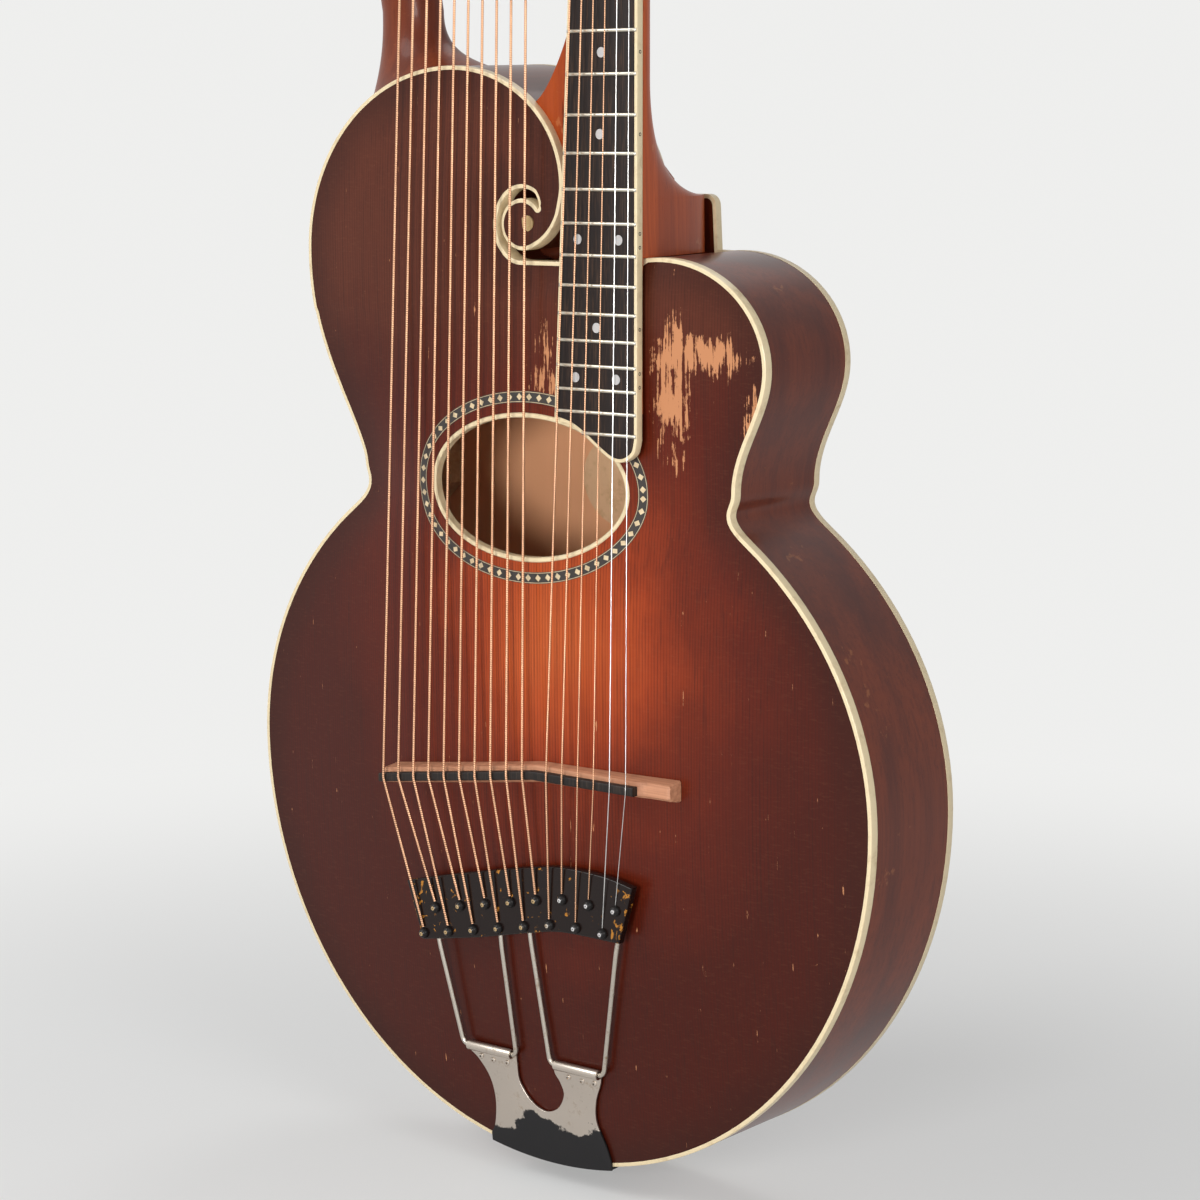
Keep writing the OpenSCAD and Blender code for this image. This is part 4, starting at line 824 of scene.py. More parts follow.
@dataclass(frozen=True)
class Nickel(Finish):
    """Plated metal: bright where rubbed, brown and dull where the plate has aged."""

    name: str = "nickel"
    bright: Color = (0.62, 0.59, 0.53)
    aged: Color = (0.16, 0.115, 0.07)
    patina: float = 0.35
    foot: float | None = None
    foot_dark: Color = (0.016, 0.015, 0.016)

    def paint(self, p: Paint) -> bpy.types.Material:
        """Patina by rough noise; below the foot height a ragged dark border."""
        spots = p.noise(7, detail=8, rough=0.72)
        mask = spots.between(0.62 - self.patina * 0.25, 0.86 - self.patina * 0.3)
        fine = p.noise(0.8, (1, 1, 1), 3)
        color = p.mix(mask, self.bright, self.aged)
        if self.foot is not None:
            # Below the foot height the colour turns near-black, more towards the tail and the treble side,
            # with a ragged edge.
            torn = (p.noise(26, detail=7, rough=0.62) - 0.5) * 3.4
            black = ((self.foot - p.y) / 15.0 + (p.x + 12.0) / 60.0 * 0.6 + torn).between(0.0, 0.14)
            color = p.mix(black, color, self.foot_dark)
            mask = mask.of("MAXIMUM", black)
        return p.surface(color, 0.26 + mask * 0.34 + fine * 0.08, fine, 0.02, 0.2,
                         Metallic=1.0 - mask * 0.45)


@dataclass(frozen=True)
class Winding(Finish):
    """A string: wire wound round a core in close turns, or plain wire where turns is 0."""

    name: str
    tone: Color
    turns: float = 1.0

    def paint(self, p: Paint) -> bpy.types.Material:
        """The map's first way runs along the string in millimetres, so its sine gives the turns."""
        along, around = p.map()
        tarnish = p.noise(30, detail=5).between(0.35, 0.7)
        color = p.mix(tarnish, self.tone, tuple(c * 0.72 for c in self.tone))
        if not self.turns:
            return p.surface(color, 0.28 + tarnish * 0.1, Metallic=1.0)
        wave = ((along * self.turns + around) * (2 * math.pi)).of("SINE") * 0.5 + 0.5
        # Painted shade: the grooves between the turns are darkened to 0.3 of the tone, as well as bumped.
        color = p.mix(1.0 - wave.between(0.0, 0.45), color, tuple(c * 0.3 for c in self.tone))
        return p.surface(color, 0.34 + tarnish * 0.1, wave, 0.1, 0.6, Metallic=1.0)


@dataclass(frozen=True)
class Rosette(Finish):
    """A black ring with a row of cream diamonds and a thin cream line along each edge."""

    name: str = "rosette"
    ground: Color = (0.022, 0.016, 0.013)
    inlay: Color = (0.72, 0.58, 0.36)
    pitch: float = 7.6
    width: float = 0.5

    def paint(self, p: Paint) -> bpy.types.Material:
        """Diamonds are where the folded distance along plus the folded distance across is small."""
        along, across = p.map()
        cell = abs((along / self.pitch).of("FRACT") - 0.5)
        side = abs(across - 0.5)
        diamond = 1.0 - (cell * 1.15 + side * 1.0).between(0.30, 0.33)
        line = (1.0 - (abs(side - 0.425) * 60.0).between(1.2, 2.0)) * 0.85
        mask = diamond.of("MAXIMUM", line)
        age = p.noise(6, detail=5)
        color = p.mix(mask, self.ground, p.mix(age.between(0.3, 0.7) * 0.5, self.inlay, (0.45, 0.30, 0.15)))
        return p.surface(color, 0.36 + age * 0.1, Coat_Weight=0.3)


@dataclass(frozen=True)
class Tortoise(Finish):
    """Dark tortoise-coloured plate: black-brown with red-brown clouds under a polish."""

    name: str = "pin_block"
    dark: Color = (0.010, 0.005, 0.004)
    cloud: Color = (0.42, 0.17, 0.02)

    def paint(self, p: Paint) -> bpy.types.Material:
        """Clouds by warped noise, more of them towards the block's ends."""
        ends = (abs(p.x + 4.0) / 92.0).between(0.55, 1.0) * 0.07
        cloud = (p.noise(8, detail=3, warp=1.2) + ends).between(0.66, 0.72)
        wear = p.noise(2.0, detail=4)
        return p.surface(p.mix(cloud, self.dark, self.cloud), 0.16 + wear * 0.14, Specular_IOR_Level=0.2,
                         Coat_Weight=0.1)


@dataclass(frozen=True)
class Timber(Finish):
    """Bare wood with open grain and patches of dirt."""

    name: str
    pale: Color
    deep: Color
    axis: Axis
    rough: float = 0.62

    def paint(self, p: Paint) -> bpy.types.Material:
        """Bands by noise drawn out along the grain."""
        band = p.noise(3.4, self.axis.value, 4, 0.6, 0.3)
        pore = p.noise(0.5, self.axis.value, 2)
        soil = p.noise(14, detail=6, rough=0.7).between(0.5, 0.75)
        color = p.mix(band.between(0.3, 0.7), self.pale, self.deep)
        color = p.mix(soil * 0.45, color, tuple(c * 0.45 for c in self.deep))
        return p.surface(color, self.rough - soil * 0.1, pore, 0.08, 0.5)


@dataclass(frozen=True)
class Pearl(Finish):
    """Mother of pearl: grey, with faint pink and green drifts; the scroll's old button is browned."""

    name: str = "pearl"
    old: Color = (0.40, 0.27, 0.12)

    def paint(self, p: Paint) -> bpy.types.Material:
        """Drifts by two warped noises."""
        drift = p.noise(4, detail=2, warp=2.0)
        color = p.ramp(drift, [(0.25, (0.42, 0.45, 0.43)), (0.5, (0.52, 0.48, 0.47)),
                               (0.75, (0.36, 0.42, 0.43))])
        color = p.mix(p.x.between(20.0, 26.0), self.old, color)
        return p.surface(color, 0.22 + drift * 0.1, Coat_Weight=0.3)


@dataclass(frozen=True)
class Paper(Finish):
    """Old paper, bare: browned towards its edges, with a fibrous bump."""

    name: str = "label_paper"

    def paint(self, p: Paint) -> bpy.types.Material:
        """Foxing by noise."""
        fox = p.noise(9, detail=6, rough=0.7).between(0.45, 0.8)
        fibre = p.noise(0.5, detail=2)
        return p.surface(p.mix(fox, (0.80, 0.50, 0.28), (0.50, 0.28, 0.12)), 0.85, fibre, 0.04, 0.4)


RIB_WOOD = Varnish("mahogany_ribs", (0.070, 0.010, 0.004), (0.165, 0.028, 0.008), Axis.NECK, 0.26, 0.45,
                   worn=(0.30, 0.10, 0.035), inner=(0.56, 0.29, 0.14))
# The back's inner face is bare mahogany painted much paler than that wood: painted light, so the inside seen
# through the sound hole looks lit.
BACK_WOOD = Varnish("mahogany_back", (0.065, 0.010, 0.004), (0.145, 0.026, 0.008), Axis.NECK, 0.26, 0.45,
                    worn=(0.28, 0.09, 0.03), inner=(0.85, 0.42, 0.22))
HORN_WOOD = Varnish("horn_wood", (0.060, 0.011, 0.005), (0.140, 0.028, 0.010), Axis.DEPTH, 0.28, 0.4,
                    worn=(0.24, 0.08, 0.03))
NECK_WOOD = Varnish("neck_wood", (0.25, 0.036, 0.006), (0.46, 0.080, 0.014), Axis.NECK, 0.30, 0.4,
                    worn=(0.46, 0.15, 0.05))
ARM_WOOD = Varnish("arm_wood", (0.11, 0.020, 0.007), (0.24, 0.050, 0.017), Axis.NECK, 0.34, 0.3,
                   worn=(0.32, 0.10, 0.035))
HEAD_WOOD = Varnish("head_wood", (0.03, 0.008, 0.005), (0.075, 0.019, 0.010), Axis.NECK, 0.26, 0.5)
INSIDE_WOOD = Timber("spruce_inside", (0.66, 0.47, 0.28), (0.52, 0.33, 0.18), Axis.ACROSS)
BRIDGE_WOOD = Timber("bridge_wood", (0.62, 0.30, 0.17), (0.42, 0.18, 0.095), Axis.ACROSS, 0.55)
BINDING = Ivoroid()
BONE = Ivoroid("bone", (0.72, 0.62, 0.42), (0.44, 0.31, 0.16))
BUTTON = Ivoroid("button_ivory", (0.70, 0.58, 0.36), (0.42, 0.27, 0.12))
EBONY = Ebony("fingerboard")
SADDLE = Ebony("saddle_wood", (0.014, 0.011, 0.010), (0.045, 0.03, 0.022), 0.34)
BLACK = Ebony("pin_black", (0.010, 0.009, 0.009), (0.022, 0.018, 0.016), 0.22)
FRET = Nickel("fret_metal", (0.66, 0.62, 0.52), (0.34, 0.27, 0.17), 0.2)
TUNER = Nickel("tuner_metal", (0.60, 0.57, 0.50), (0.20, 0.15, 0.09), 0.3)
PLATED = Nickel("tailpiece_metal", (0.60, 0.53, 0.46), (0.30, 0.22, 0.15), 0.35, -222.0)
ROD = Nickel("rod_metal", (0.58, 0.53, 0.46), (0.24, 0.17, 0.11), 0.5)
BRONZE = Winding("string_metal", (0.92, 0.52, 0.31), 0.75)
STEEL = Winding("string_steel", (0.80, 0.79, 0.77), 0.0)


# ---- body -------------------------------------------------------------------------------------


@dataclass
class Outline:
    """The body's outline, the scroll and the arch of its plates."""

    fine: int = 4
    lower: tuple[float, float] = (243.5, 243.0)
    upper: tuple[float, float] = (243.5, 210.0)
    treble_centre: tuple[float, float] = (95.5, 261.0)
    treble_half: tuple[float, float] = (75.5, 62.8)
    bass_centre: tuple[float, float] = (-66.0, 320.0)
    bass_half: tuple[float, float] = (125.0, 116.0)
    horn_centre: tuple[float, float] = (-66.0, 365.0)
    horn_half: tuple[float, float] = (88.0, 71.0)
    back_centre: tuple[float, float] = (-66.0, 350.0)
    back_half: tuple[float, float] = (103.0, 86.0)
    curl_centre: tuple[float, float] = (-7.5, 342.0)
    curl_radius: float = 16.4
    curl_span: tuple[float, float, float] = (13.0, -75.0, -322.0)
    slot_gap: float = 6.0
    spine_top: tuple[float, float] = (-64.0, 285.0)
    neck_edges: tuple[float, float] = (27.5, 86.5)
    heel_edges: tuple[float, float] = (38.0, 76.0)
    heel_top: float = 357.0
    top_arch: float = 18.0
    horn_arch: float = 9.0
    back_arch: float = 16.0
    depth: float = 84.0

    def __post_init__(self) -> None:
        """Works out both sides, station by station, and the tables of the arch."""
        k = self.fine
        at = math.radians(50)
        shoulder = np.array([self.upper[0] * math.cos(at), self.upper[1] * math.sin(at)])
        run = np.array([-self.upper[0] * math.sin(at), self.upper[1] * math.cos(at)]) / 3
        treble = self.flank((148, 188), (171, 261), 1.0, 7 * k)
        bass = self.flank((-146, 190), (-191, 320), 0.7, 12 * k)
        flip = np.array([-1, 1])
        end = math.degrees(math.acos((self.neck_edges[1] - self.treble_centre[0]) / self.treble_half[0]))
        self.right = np.vstack([
            arc((0, 0), self.lower, -90, 0, 9 * k), arc((0, 0), self.upper, 0, 50, 5 * k)[1:],
            bend(shoulder, run, treble[0], (0, 30), 3 * k)[1:], treble[1:],
            arc(self.treble_centre, self.treble_half, 0, end, 6 * k)[1:]])
        self.left = np.vstack([
            arc((0, 0), self.lower, -90, -180, 9 * k), arc((0, 0), self.upper, 180, 130, 5 * k)[1:],
            bend(shoulder * flip, run * flip, bass[0], (0, 30), 3 * k)[1:], bass[1:],
            arc(self.bass_centre, self.bass_half, 180, 90, 14 * k)[1:]])
        self.joint_height = self.curl_centre[1] - float(self.curl(-90.0)) - float(self.gap(-90.0))
        self.joint_left = self.neck_edges[0] - 9
        horn = arc(self.horn_centre, self.horn_half, 0, 90, 7 * k)
        rim = np.vstack([self.right[-8 * k - 1:], horn, self.left[-14 * k - 1:-k][::-1]]) - self.spine_top
        bearing = self.bearing(rim)
        order = np.argsort(bearing)
        self.rim_table = (bearing[order], np.linalg.norm(rim, axis=1)[order])
        rising = self.right[9 * k:-3 * k]
        self.side_tables = (rising, self.left[9 * k:])

    @staticmethod
    def bearing(d: Array) -> Array:
        """Angle of each offset from the spine's top, between -90 and 270 degrees."""
        a = np.degrees(np.arctan2(d[:, 1], d[:, 0]))
        return np.where(a < -90, a + 360, a)

    @staticmethod
    def flank(waist: Sequence[float], bout: Sequence[float], late: float, n: int) -> Array:
        """Eases from the waist out to the bout: x by (1 - cos(180 t ** late)) / 2, y evenly."""
        t = np.linspace(0, 1, n + 1)
        x = waist[0] + (bout[0] - waist[0]) * (1 - np.cos(np.pi * t ** late)) / 2
        return xy(x, waist[1] + (bout[1] - waist[1]) * t)

    def curl(self, t: Array | float) -> Array:
        """Radius of the curl at angle t: it swells towards the lip and shrinks towards the tip."""
        start, opens, end = self.curl_span
        t = np.asarray(t, float)
        swell = 11.2 * np.clip((t - opens) / (start - opens), 0, None) ** 2.2
        return self.curl_radius + np.where(t > opens, swell, -2.1 * (t - opens) / (end - opens))

    def gap(self, t: Array | float) -> Array:
        """Width of the slot at angle t: wide below and above, closing at its tip."""
        t = np.asarray(t, float)
        close = np.minimum(1, np.clip((t - self.curl_span[2]) / 25, 0, None) ** 0.6)
        return self.slot_gap * (0.77 - 0.23 * np.cos(2 * np.radians(t))) * close

    def around(self, t: Array, radius: Array) -> Array:
        """Points about the curl's centre."""
        a = np.radians(t)
        return xy(self.curl_centre[0] + radius * np.cos(a), self.curl_centre[1] + radius * np.sin(a))

    def slot(self, d: float) -> Array:
        """The slot's edge, moved by d into the wood: outer wall, round tip, then the curl to its lip."""
        start, _, end = self.curl_span
        wall_t, curl_t = np.linspace(-92, end, 110), np.linspace(end, start, 130)
        wall = self.around(wall_t, self.curl(wall_t) + self.gap(wall_t) + d)
        tip = self.around(np.array([end]), self.curl(end))[0]
        a = math.radians(end)
        radial, onward = np.array([math.cos(a), math.sin(a)]), np.array([math.sin(a), -math.cos(a)])
        phi = np.linspace(0, np.pi, 10)[1:-1, None]
        cap = tip + max(d, 0.15) * (radial * np.cos(phi) + onward * np.sin(phi))
        return np.vstack([wall, cap, self.around(curl_t, self.curl(curl_t) - d)])

    def front(self, d: float) -> Array:
        """The whole front outline, moved in by d, anticlockwise from the tail and round the slot."""
        right = beside(self.right, d)
        mouth = np.array([self.joint_left + 6, self.joint_height - d])
        slot = self.slot(d)
        edge = np.array([self.horn_centre[0] + self.horn_half[0] - d, self.horn_centre[1]])
        lip = bend(slot[-1], (3, 12), edge, (0, 14), 8)[1:-1]
        horn = arc(self.horn_centre, np.array(self.horn_half) - d, 0, 90, 7 * self.fine)
        joint = bend(right[-1] + (0, -d), (-20, 0), mouth, (-20, 0), 8)[1:]
        left = beside(self.left, -d)[::-1]
        return np.vstack([right, joint, slot, lip, horn, left[1:-1]])

    def back(self, d: float) -> Array:
        """The whole back outline, moved in by d, round the foot of the heel."""
        corner = 7.0
        left, right = self.heel_edges
        loop = np.vstack([
            self.right, [[right + 1, self.joint_height + 4]],
            arc((right - corner, self.heel_top - corner), (corner, corner), 0, 90, 8),
            [[left + corner, self.heel_top]],
            arc(self.back_centre, self.back_half, 3, 90, 7 * self.fine), self.left[::-1][1:-1]])
        return inset(loop, d) if d else loop

    def share(self, p: Array) -> Array:
        """Share of the way from the edge (0) to the spine (1) at each point."""
        x, y = p[:, 0], p[:, 1]
        low = 1 - np.hypot(x / self.lower[0], y / self.lower[1])
        s = self.spine_top[0] * np.clip(y / self.spine_top[1], 0, 1)
        right, left = self.side_tables
        e = np.where(x < s, np.interp(y, left[:, 1], left[:, 0]), np.interp(y, right[:, 1], right[:, 0]))
        middle = 1 - (x - s) / (e - s)
        d = p - np.array(self.spine_top)
        high = 1 - np.hypot(d[:, 0], d[:, 1]) / np.interp(self.bearing(d), *self.rim_table)
        return np.where(y <= 0, low, np.where(y < self.spine_top[1], middle, high))

    def arch(self, p: Array, full: float) -> Array:
        """Height of the arch: its full rise, sunk towards the horn, times sin(90 share) ** 1.2."""
        rise = full + (self.horn_arch - full) * ease((p[:, 1] - 140) / (self.spine_top[1] - 140))
        return rise * np.sin(np.pi / 2 * np.clip(self.share(p), 0, 1)) ** 1.2

    def top_z(self, p: Array) -> Array:
        """Height of the top's outer face."""
        return self.arch(p, self.top_arch)

    def back_z(self, p: Array) -> Array:
        """Height of the back's outer face."""
        return -self.depth - self.arch(p, self.back_arch)


SHAPE = Outline()


@dataclass
class Body:
    """Carved plates, bent ribs, bindings, the sound hole and the scroll."""

    plate_thickness: float = 5.0
    rib: float = 3.0
    binding: tuple[float, float] = (2.5, 5.6)
    seat: float = 0.05
    skin: float = 0.18
    hole: tuple[float, float, float] = (184.0, 73.0, 42.0)
    hole_binding: float = 3.0
    rosette: tuple[float, float] = (9.0, 16.0)
    slot_depth: float = 26.0

    def build(self) -> None:
        """Makes every piece of the body."""
        self.plates()
        self.bindings()
        self.walls()
        self.horn()
        self.sound_hole()
        for node in ("linings", "braces", "tail_block"):
            dress(node, INSIDE_WOOD)

    def hole_path(self, d: float, n: int = 144) -> Array:
        """The sound hole's ellipse, wider by d."""
        return arc((0, self.hole[0]), (self.hole[1] + d, self.hole[2] + d), 0, 360, n)[:-1]

    def plates(self) -> None:
        """Top and back: a fine net of triangles, lifted to the arch's height."""
        width = self.binding[0] + self.seat
        outer, hole = SHAPE.front(width), self.hole_path(self.hole_binding + self.seat)
        top = plate([outer, hole], SHAPE.top_z, lambda p: SHAPE.top_z(p) - self.plate_thickness)
        half = len(top.points) // 2
        rim = np.vstack([SHAPE.right, SHAPE.left, SHAPE.front(0.0)])
        top.value[:half] = nearest(top.points[:half, :2], rim)
        top.value[half:] = -2.0
        add_piece("top_plate_carved", top, Sunburst(), ["top_plate"])
        back = plate([SHAPE.back(width)], lambda p: SHAPE.back_z(p) + self.plate_thickness, SHAPE.back_z, 6.0)
        # The inner face below the shoulder takes the inner colour, which on the back carries painted light.
        back.value[:] = (1 - back.value) * (back.points[:, 1] < SHAPE.joint_height)
        add_piece("back_plate_carved", back, BACK_WOOD, ["back_plate"])

    def edge_ring(self, outer: Array, inner: Array, low: Array, high: Array, face: int) -> Shell:
        """Carries a binding's section round a loop, its outer corner rounded on the face's side."""
        n = len(outer)
        mid = outer + (inner - outer) * 0.22
        soft = outer + (inner - outer) * 0.06
        up = high if face > 0 else low
        base = low if face > 0 else high
        ones = np.ones(n)
        section = [(outer, base * ones), (outer, (up - face * 0.7) * ones), (soft, (up - face * 0.22) * ones),
                   (mid, up * ones), (inner, up * ones), (inner, base * ones)]
        return sweep(np.stack([np.column_stack(s) for s in section], 1), True)

    def bindings(self) -> None:
        """Ivoroid edges of top and back; the top's rises with the plate along the slot."""
        width, height = self.binding
        outer, inner = SHAPE.front(0.0), SHAPE.front(width)
        high = SHAPE.top_z(SHAPE.front(width + 1.0)) * 0.9 + 0.1
        high = np.minimum(high, np.where(np.abs(outer[:, 1] - 330) > 60, 0.35, 9.0))
        ring = self.edge_ring(outer, inner, np.full(len(outer), -height), high, 1)
        add_piece("top_edge_binding", ring, BINDING, ["top_binding"])
        outer, inner = SHAPE.back(0.0), SHAPE.back(width)
        low = np.full(len(outer), -SHAPE.depth)
        ring = self.edge_ring(outer, inner, low, low + height - self.seat, -1)
        add_piece("back_edge_binding", ring, BINDING, ["back_binding"])

    def walls(self) -> None:
        """Bent ribs from the neck's treble side round the tail to the top of the horn."""
        path = np.vstack([SHAPE.right[::-1], SHAPE.left[1:]])
        outer, inner = beside(path, -self.skin), beside(path, -self.rib)
        low, high = -SHAPE.depth + self.binding[1], -self.binding[1]
        heights = np.linspace(low, high, 7)
        rings = [np.column_stack([outer, np.full(len(path), h)]) for h in heights]
        rings += [np.column_stack([inner, np.full(len(path), h)]) for h in heights[::-1]]
        strip = sweep(np.stack(rings, 1))
        n = len(rings)
        strip.value[:len(path) * n] = np.tile(np.repeat([0.0, 1.0], n // 2), len(path))
        add_piece("bent_ribs", strip, RIB_WOOD, ["ribs"])

    def horn(self) -> None:
        """The horn's wall, ruled from the front curve to the wider back curve, and the scroll's slot."""
        k = 7 * SHAPE.fine
        front = arc(SHAPE.horn_centre, np.array(SHAPE.horn_half) - self.skin, 0, 90, k)
        back = arc(SHAPE.back_centre, np.array(SHAPE.back_half) - self.skin, 3, 90, k)
        lip = SHAPE.slot(self.skin)[-1]
        lead = bend(lip, (3, 12), front[0], (0, 14), 6)[:-1]
        lead_back = bend(lead[0] + (6, -8), (8, 4), back[0], (4, 6), 6)[:-1]
        f, b = np.vstack([lead, front]), np.vstack([lead_back, back])
        q = np.linspace(0, 1, 9)[:, None, None]
        z = np.linspace(-self.binding[1], -SHAPE.depth + self.binding[1], 9)
        outer = f + (b - f) * q
        sink = np.stack([beside(path, 3.0) for path in outer])
        rings = [at_height(p, h) for p, h in zip(outer, z)]
        rings += [at_height(p, h) for p, h in zip(sink[::-1], z[::-1])]
        wall = sweep(np.stack(rings, 1))
        near, far = SHAPE.slot(self.skin), SHAPE.slot(2.2)
        levels = (-self.binding[1] + 1.0, -self.slot_depth)
        section = [(near, levels[0]), (near, levels[1]), (far, levels[1]), (far, levels[0])]
        well = sweep(np.stack([at_height(s, h) for s, h in section], 1))
        mouth = np.array([[SHAPE.joint_left + 6, SHAPE.joint_height]])
        slot = SHAPE.slot(1.0)
        area = np.vstack([slot, [[SHAPE.joint_left + 12, slot[-1][1]]], mouth + [[6, -1]]])[::-1]
        floor = prism(area, -self.slot_depth - 1.5, -self.slot_depth + 0.1, 0.05)
        add_piece("horn_block", join([wall, well, floor]), HORN_WOOD, ["neck_block"])

    def ring_on_top(self, near: float, far: float, rise: float, sink: float, soft: float) -> Shell:
        """A ring that follows the arch round the sound hole, with softened upper corners."""
        n = 216
        offsets = [near, near, near + soft, far - soft, far, far]
        heights = [-sink, rise - soft, rise, rise, rise - soft, -sink]
        rings = []
        for d, h in zip(offsets, heights):
            p = self.hole_path(d, n)
            rings.append(np.column_stack([p, SHAPE.top_z(p) + h]))
        return sweep(np.stack(rings, 1), True)

    def sound_hole(self) -> None:
        """The hole's binding, the inlaid rosette, whose map runs along and across, and a bare label."""
        edge = self.ring_on_top(0, self.hole_binding, 0.3, self.plate_thickness + 0.2, 0.6)
        add_piece("sound_hole_binding", edge, BINDING, ["soundhole_binding"])
        near, far = self.rosette
        n, across = 216, np.linspace(0, 1, 9)
        rows = [np.column_stack([p, SHAPE.top_z(p) + 0.12]) for p in
                (self.hole_path(near + (far - near) * v, n) for v in across)]
        rows += [np.column_stack([p, SHAPE.top_z(p) - 1.2]) for p in
                 (self.hole_path(d, n) for d in (far, near))]
        band = sweep(np.stack(rows, 1), True)
        cells = len(rows)
        share = np.concatenate([across, [1.0, 0.0]])
        band.uv[..., 1] = share[band.faces % cells]
        add_piece("sound_hole_rosette", band, Rosette(), ["rosette"], crease=60)
        spot = arc((-10, 175), (34, 30), 0, 360, 64)[:-1]
        under = lambda p: SHAPE.back_z(p) + self.plate_thickness + 0.05
        label = plate([spot], lambda p: under(p) + 0.25, under, 6.0)
        add_piece("label_disc", label, Paper())


# ---- neck -------------------------------------------------------------------------------------


@dataclass
class Neck:
    """Neck with its heel, the root that joins it to the horn, fingerboard, frets and dots."""

    offset: float = 57.0
    fret12: float = 324.5
    scale: float = 628.6
    set_back: float = 2.94
    rise: float = 10.9
    board: tuple[float, float, float] = (59.0, 45.5, 5.5)
    depth: float = 16.0
    heel_width: float = 38.0
    head_tilt: float = 13.0
    head_thickness: float = 15.0
    nut: float = 5.0
    board_binding: float = 2.0
    seat: float = 0.05
    cove_height: float = 70.0
    last_fret: int = 19

    def __post_init__(self) -> None:
        """Works out the two leaning planes."""
        self.reach = self.scale / 2
        c = math.cos(math.radians(self.set_back))
        self.on_board = Lean((self.offset, self.fret12, self.rise), self.set_back)
        self.head_y = self.fret12 + self.reach * c + self.nut + self.seat
        self.head_z = float(self.board_z(self.head_y)) - 3
        self.on_head = Lean((0.0, self.head_y, self.head_z), self.head_tilt)
        self.heel_start = SHAPE.heel_top + self.cove_height
        self.floor = -SHAPE.depth + 6.0 + self.seat

    def board_z(self, y: Array | float) -> Array:
        """Height of the fingerboard's surface at height y."""
        return self.rise + (self.fret12 - y) * math.tan(math.radians(self.set_back))

    def half(self, y: Array | float) -> Array:
        """Half the fingerboard's width at height y."""
        return (self.board[0] + (self.fret12 - y) * 2 * (self.board[0] - self.board[1]) / self.scale) / 2

    def fret_at(self, n: float) -> float:
        """Place of fret n along the board, from the twelfth."""
        return self.scale * (2 ** (-n / 12) - 0.5)

    def board_loop(self, fine: int = 10) -> Array:
        """The fingerboard's outline, with its long curved end over the sound hole's side."""
        tip = self.fret_at(self.last_fret) - 15.5
        half = lambda y: float(self.half(self.fret12 + y))
        end = through([(-half(-97), self.fret_at(self.last_fret) + 7), (-19, tip + 19.5), (-7, tip + 13),
                       (5, tip + 5), (14, tip + 0.4), (22, tip + 0.2), (29.5, tip + 5),
                       (half(-106), tip + 13)], fine)
        top = self.reach - self.seat
        return np.vstack([[(-half(self.reach), top)], end, [(half(self.reach), top)]])

    def build(self) -> None:
        """Makes every piece of the neck."""
        self.wood()
        self.fingerboard()
        self.metal()
        dress("inlays", Pearl())

    def cove(self, y: Array) -> Array:
        """Share of the way down to the heel's foot: 1 - sqrt(1 - u ** 2)."""
        u = np.clip((self.heel_start - y) / self.cove_height, 0, 1)
        return 1 - np.sqrt(1 - u * u * 0.998)

    def section(self, y: float, joint: bool = False, n: int = 40) -> Array:
        """A rounded cross-section at height y, or the last one, which meets the body."""
        top = float(self.board_z(y)) - self.board[2] - self.seat
        q = float(self.cove(np.array(y)))
        shaft = self.depth + 3 * (self.reach + self.fret12 - y) / self.reach
        step = self.depth + self.board[2] - 3 - self.head_thickness * math.cos(math.radians(self.head_tilt))
        bottom = max(self.floor, top - shaft - (top - shaft + SHAPE.depth - 5) * q)
        bottom += step * min(max(1 - (self.head_y - y) / 12, 0), 1)
        power = 0.86 - 0.5 * q
        a = np.linspace(0, np.pi, n + 1)
        v = np.abs(np.sin(a)) ** power
        hw, hh = float(self.half(y)), self.heel_width / 2
        w = (hw + (hh - hw) * v * q) * np.sign(np.cos(a)) * np.abs(np.cos(a)) ** power
        x = np.concatenate([self.offset + w, [self.offset - hw, self.offset + hw]])
        z = np.concatenate([top - 1 - (top - 1 - bottom) * v, [top, top]])
        return np.column_stack([x, self.joint_y(x) + self.seat if joint else np.full(len(x), y), z])

    def joint_y(self, x: Array) -> Array:
        """Height of the body's shoulder under the fingerboard."""
        a, b = np.array([SHAPE.joint_left, SHAPE.joint_height]), SHAPE.right[-1]
        return a[1] + (b[1] - a[1]) * (x - a[0]) / (b[0] - a[0])

    def wood(self) -> None:
        """Shaft and heel as one loft, the root as levels from front to back, and the wedge."""
        first = self.section(self.head_y)
        lean = math.tan(math.radians(self.head_tilt))
        first[:, 1] = self.head_y + (first[:, 2] - self.head_z) * lean - self.seat
        heights = np.concatenate([self.head_y - np.linspace(0, 12, 6)[1:],
                                  np.linspace(self.head_y - 12, self.heel_start, 18)[1:],
                                  SHAPE.heel_top + self.cove_height * (1 - np.linspace(0, 1, 41)[1:]) ** 1.5])
        rings = [first, *(self.section(float(y)) for y in heights),
                 self.section(SHAPE.joint_height + 2, True)]
        shaft = sweep(np.stack(rings))
        start, end = SHAPE.joint_height + 8, self.fret12 + self.fret_at(self.last_fret - 1)
        wedge = []
        for y in np.linspace(start, end, 13):
            x = self.offset + np.linspace(-1, 1, 9) * (float(self.half(y)) - 3)
            p = xy(x, np.full(9, y))
            high = np.full(2, float(self.board_z(y)) - self.board[2] - self.seat)
            wedge.append(np.vstack([np.column_stack([p, SHAPE.top_z(p) + 0.35]),
                                    np.column_stack([x[[-1, 0]], [y, y], high])]))
        levels = np.concatenate([[0.0], np.linspace(0, 1, 25)[1:] ** 1.4])
        root = sweep(np.stack([self.root_level(float(s)) for s in levels]))
        add_piece("neck_wood_shaft", join([shaft, sweep(np.stack(wedge)), root]), NECK_WOOD,
                  ["neck"], crease=40)

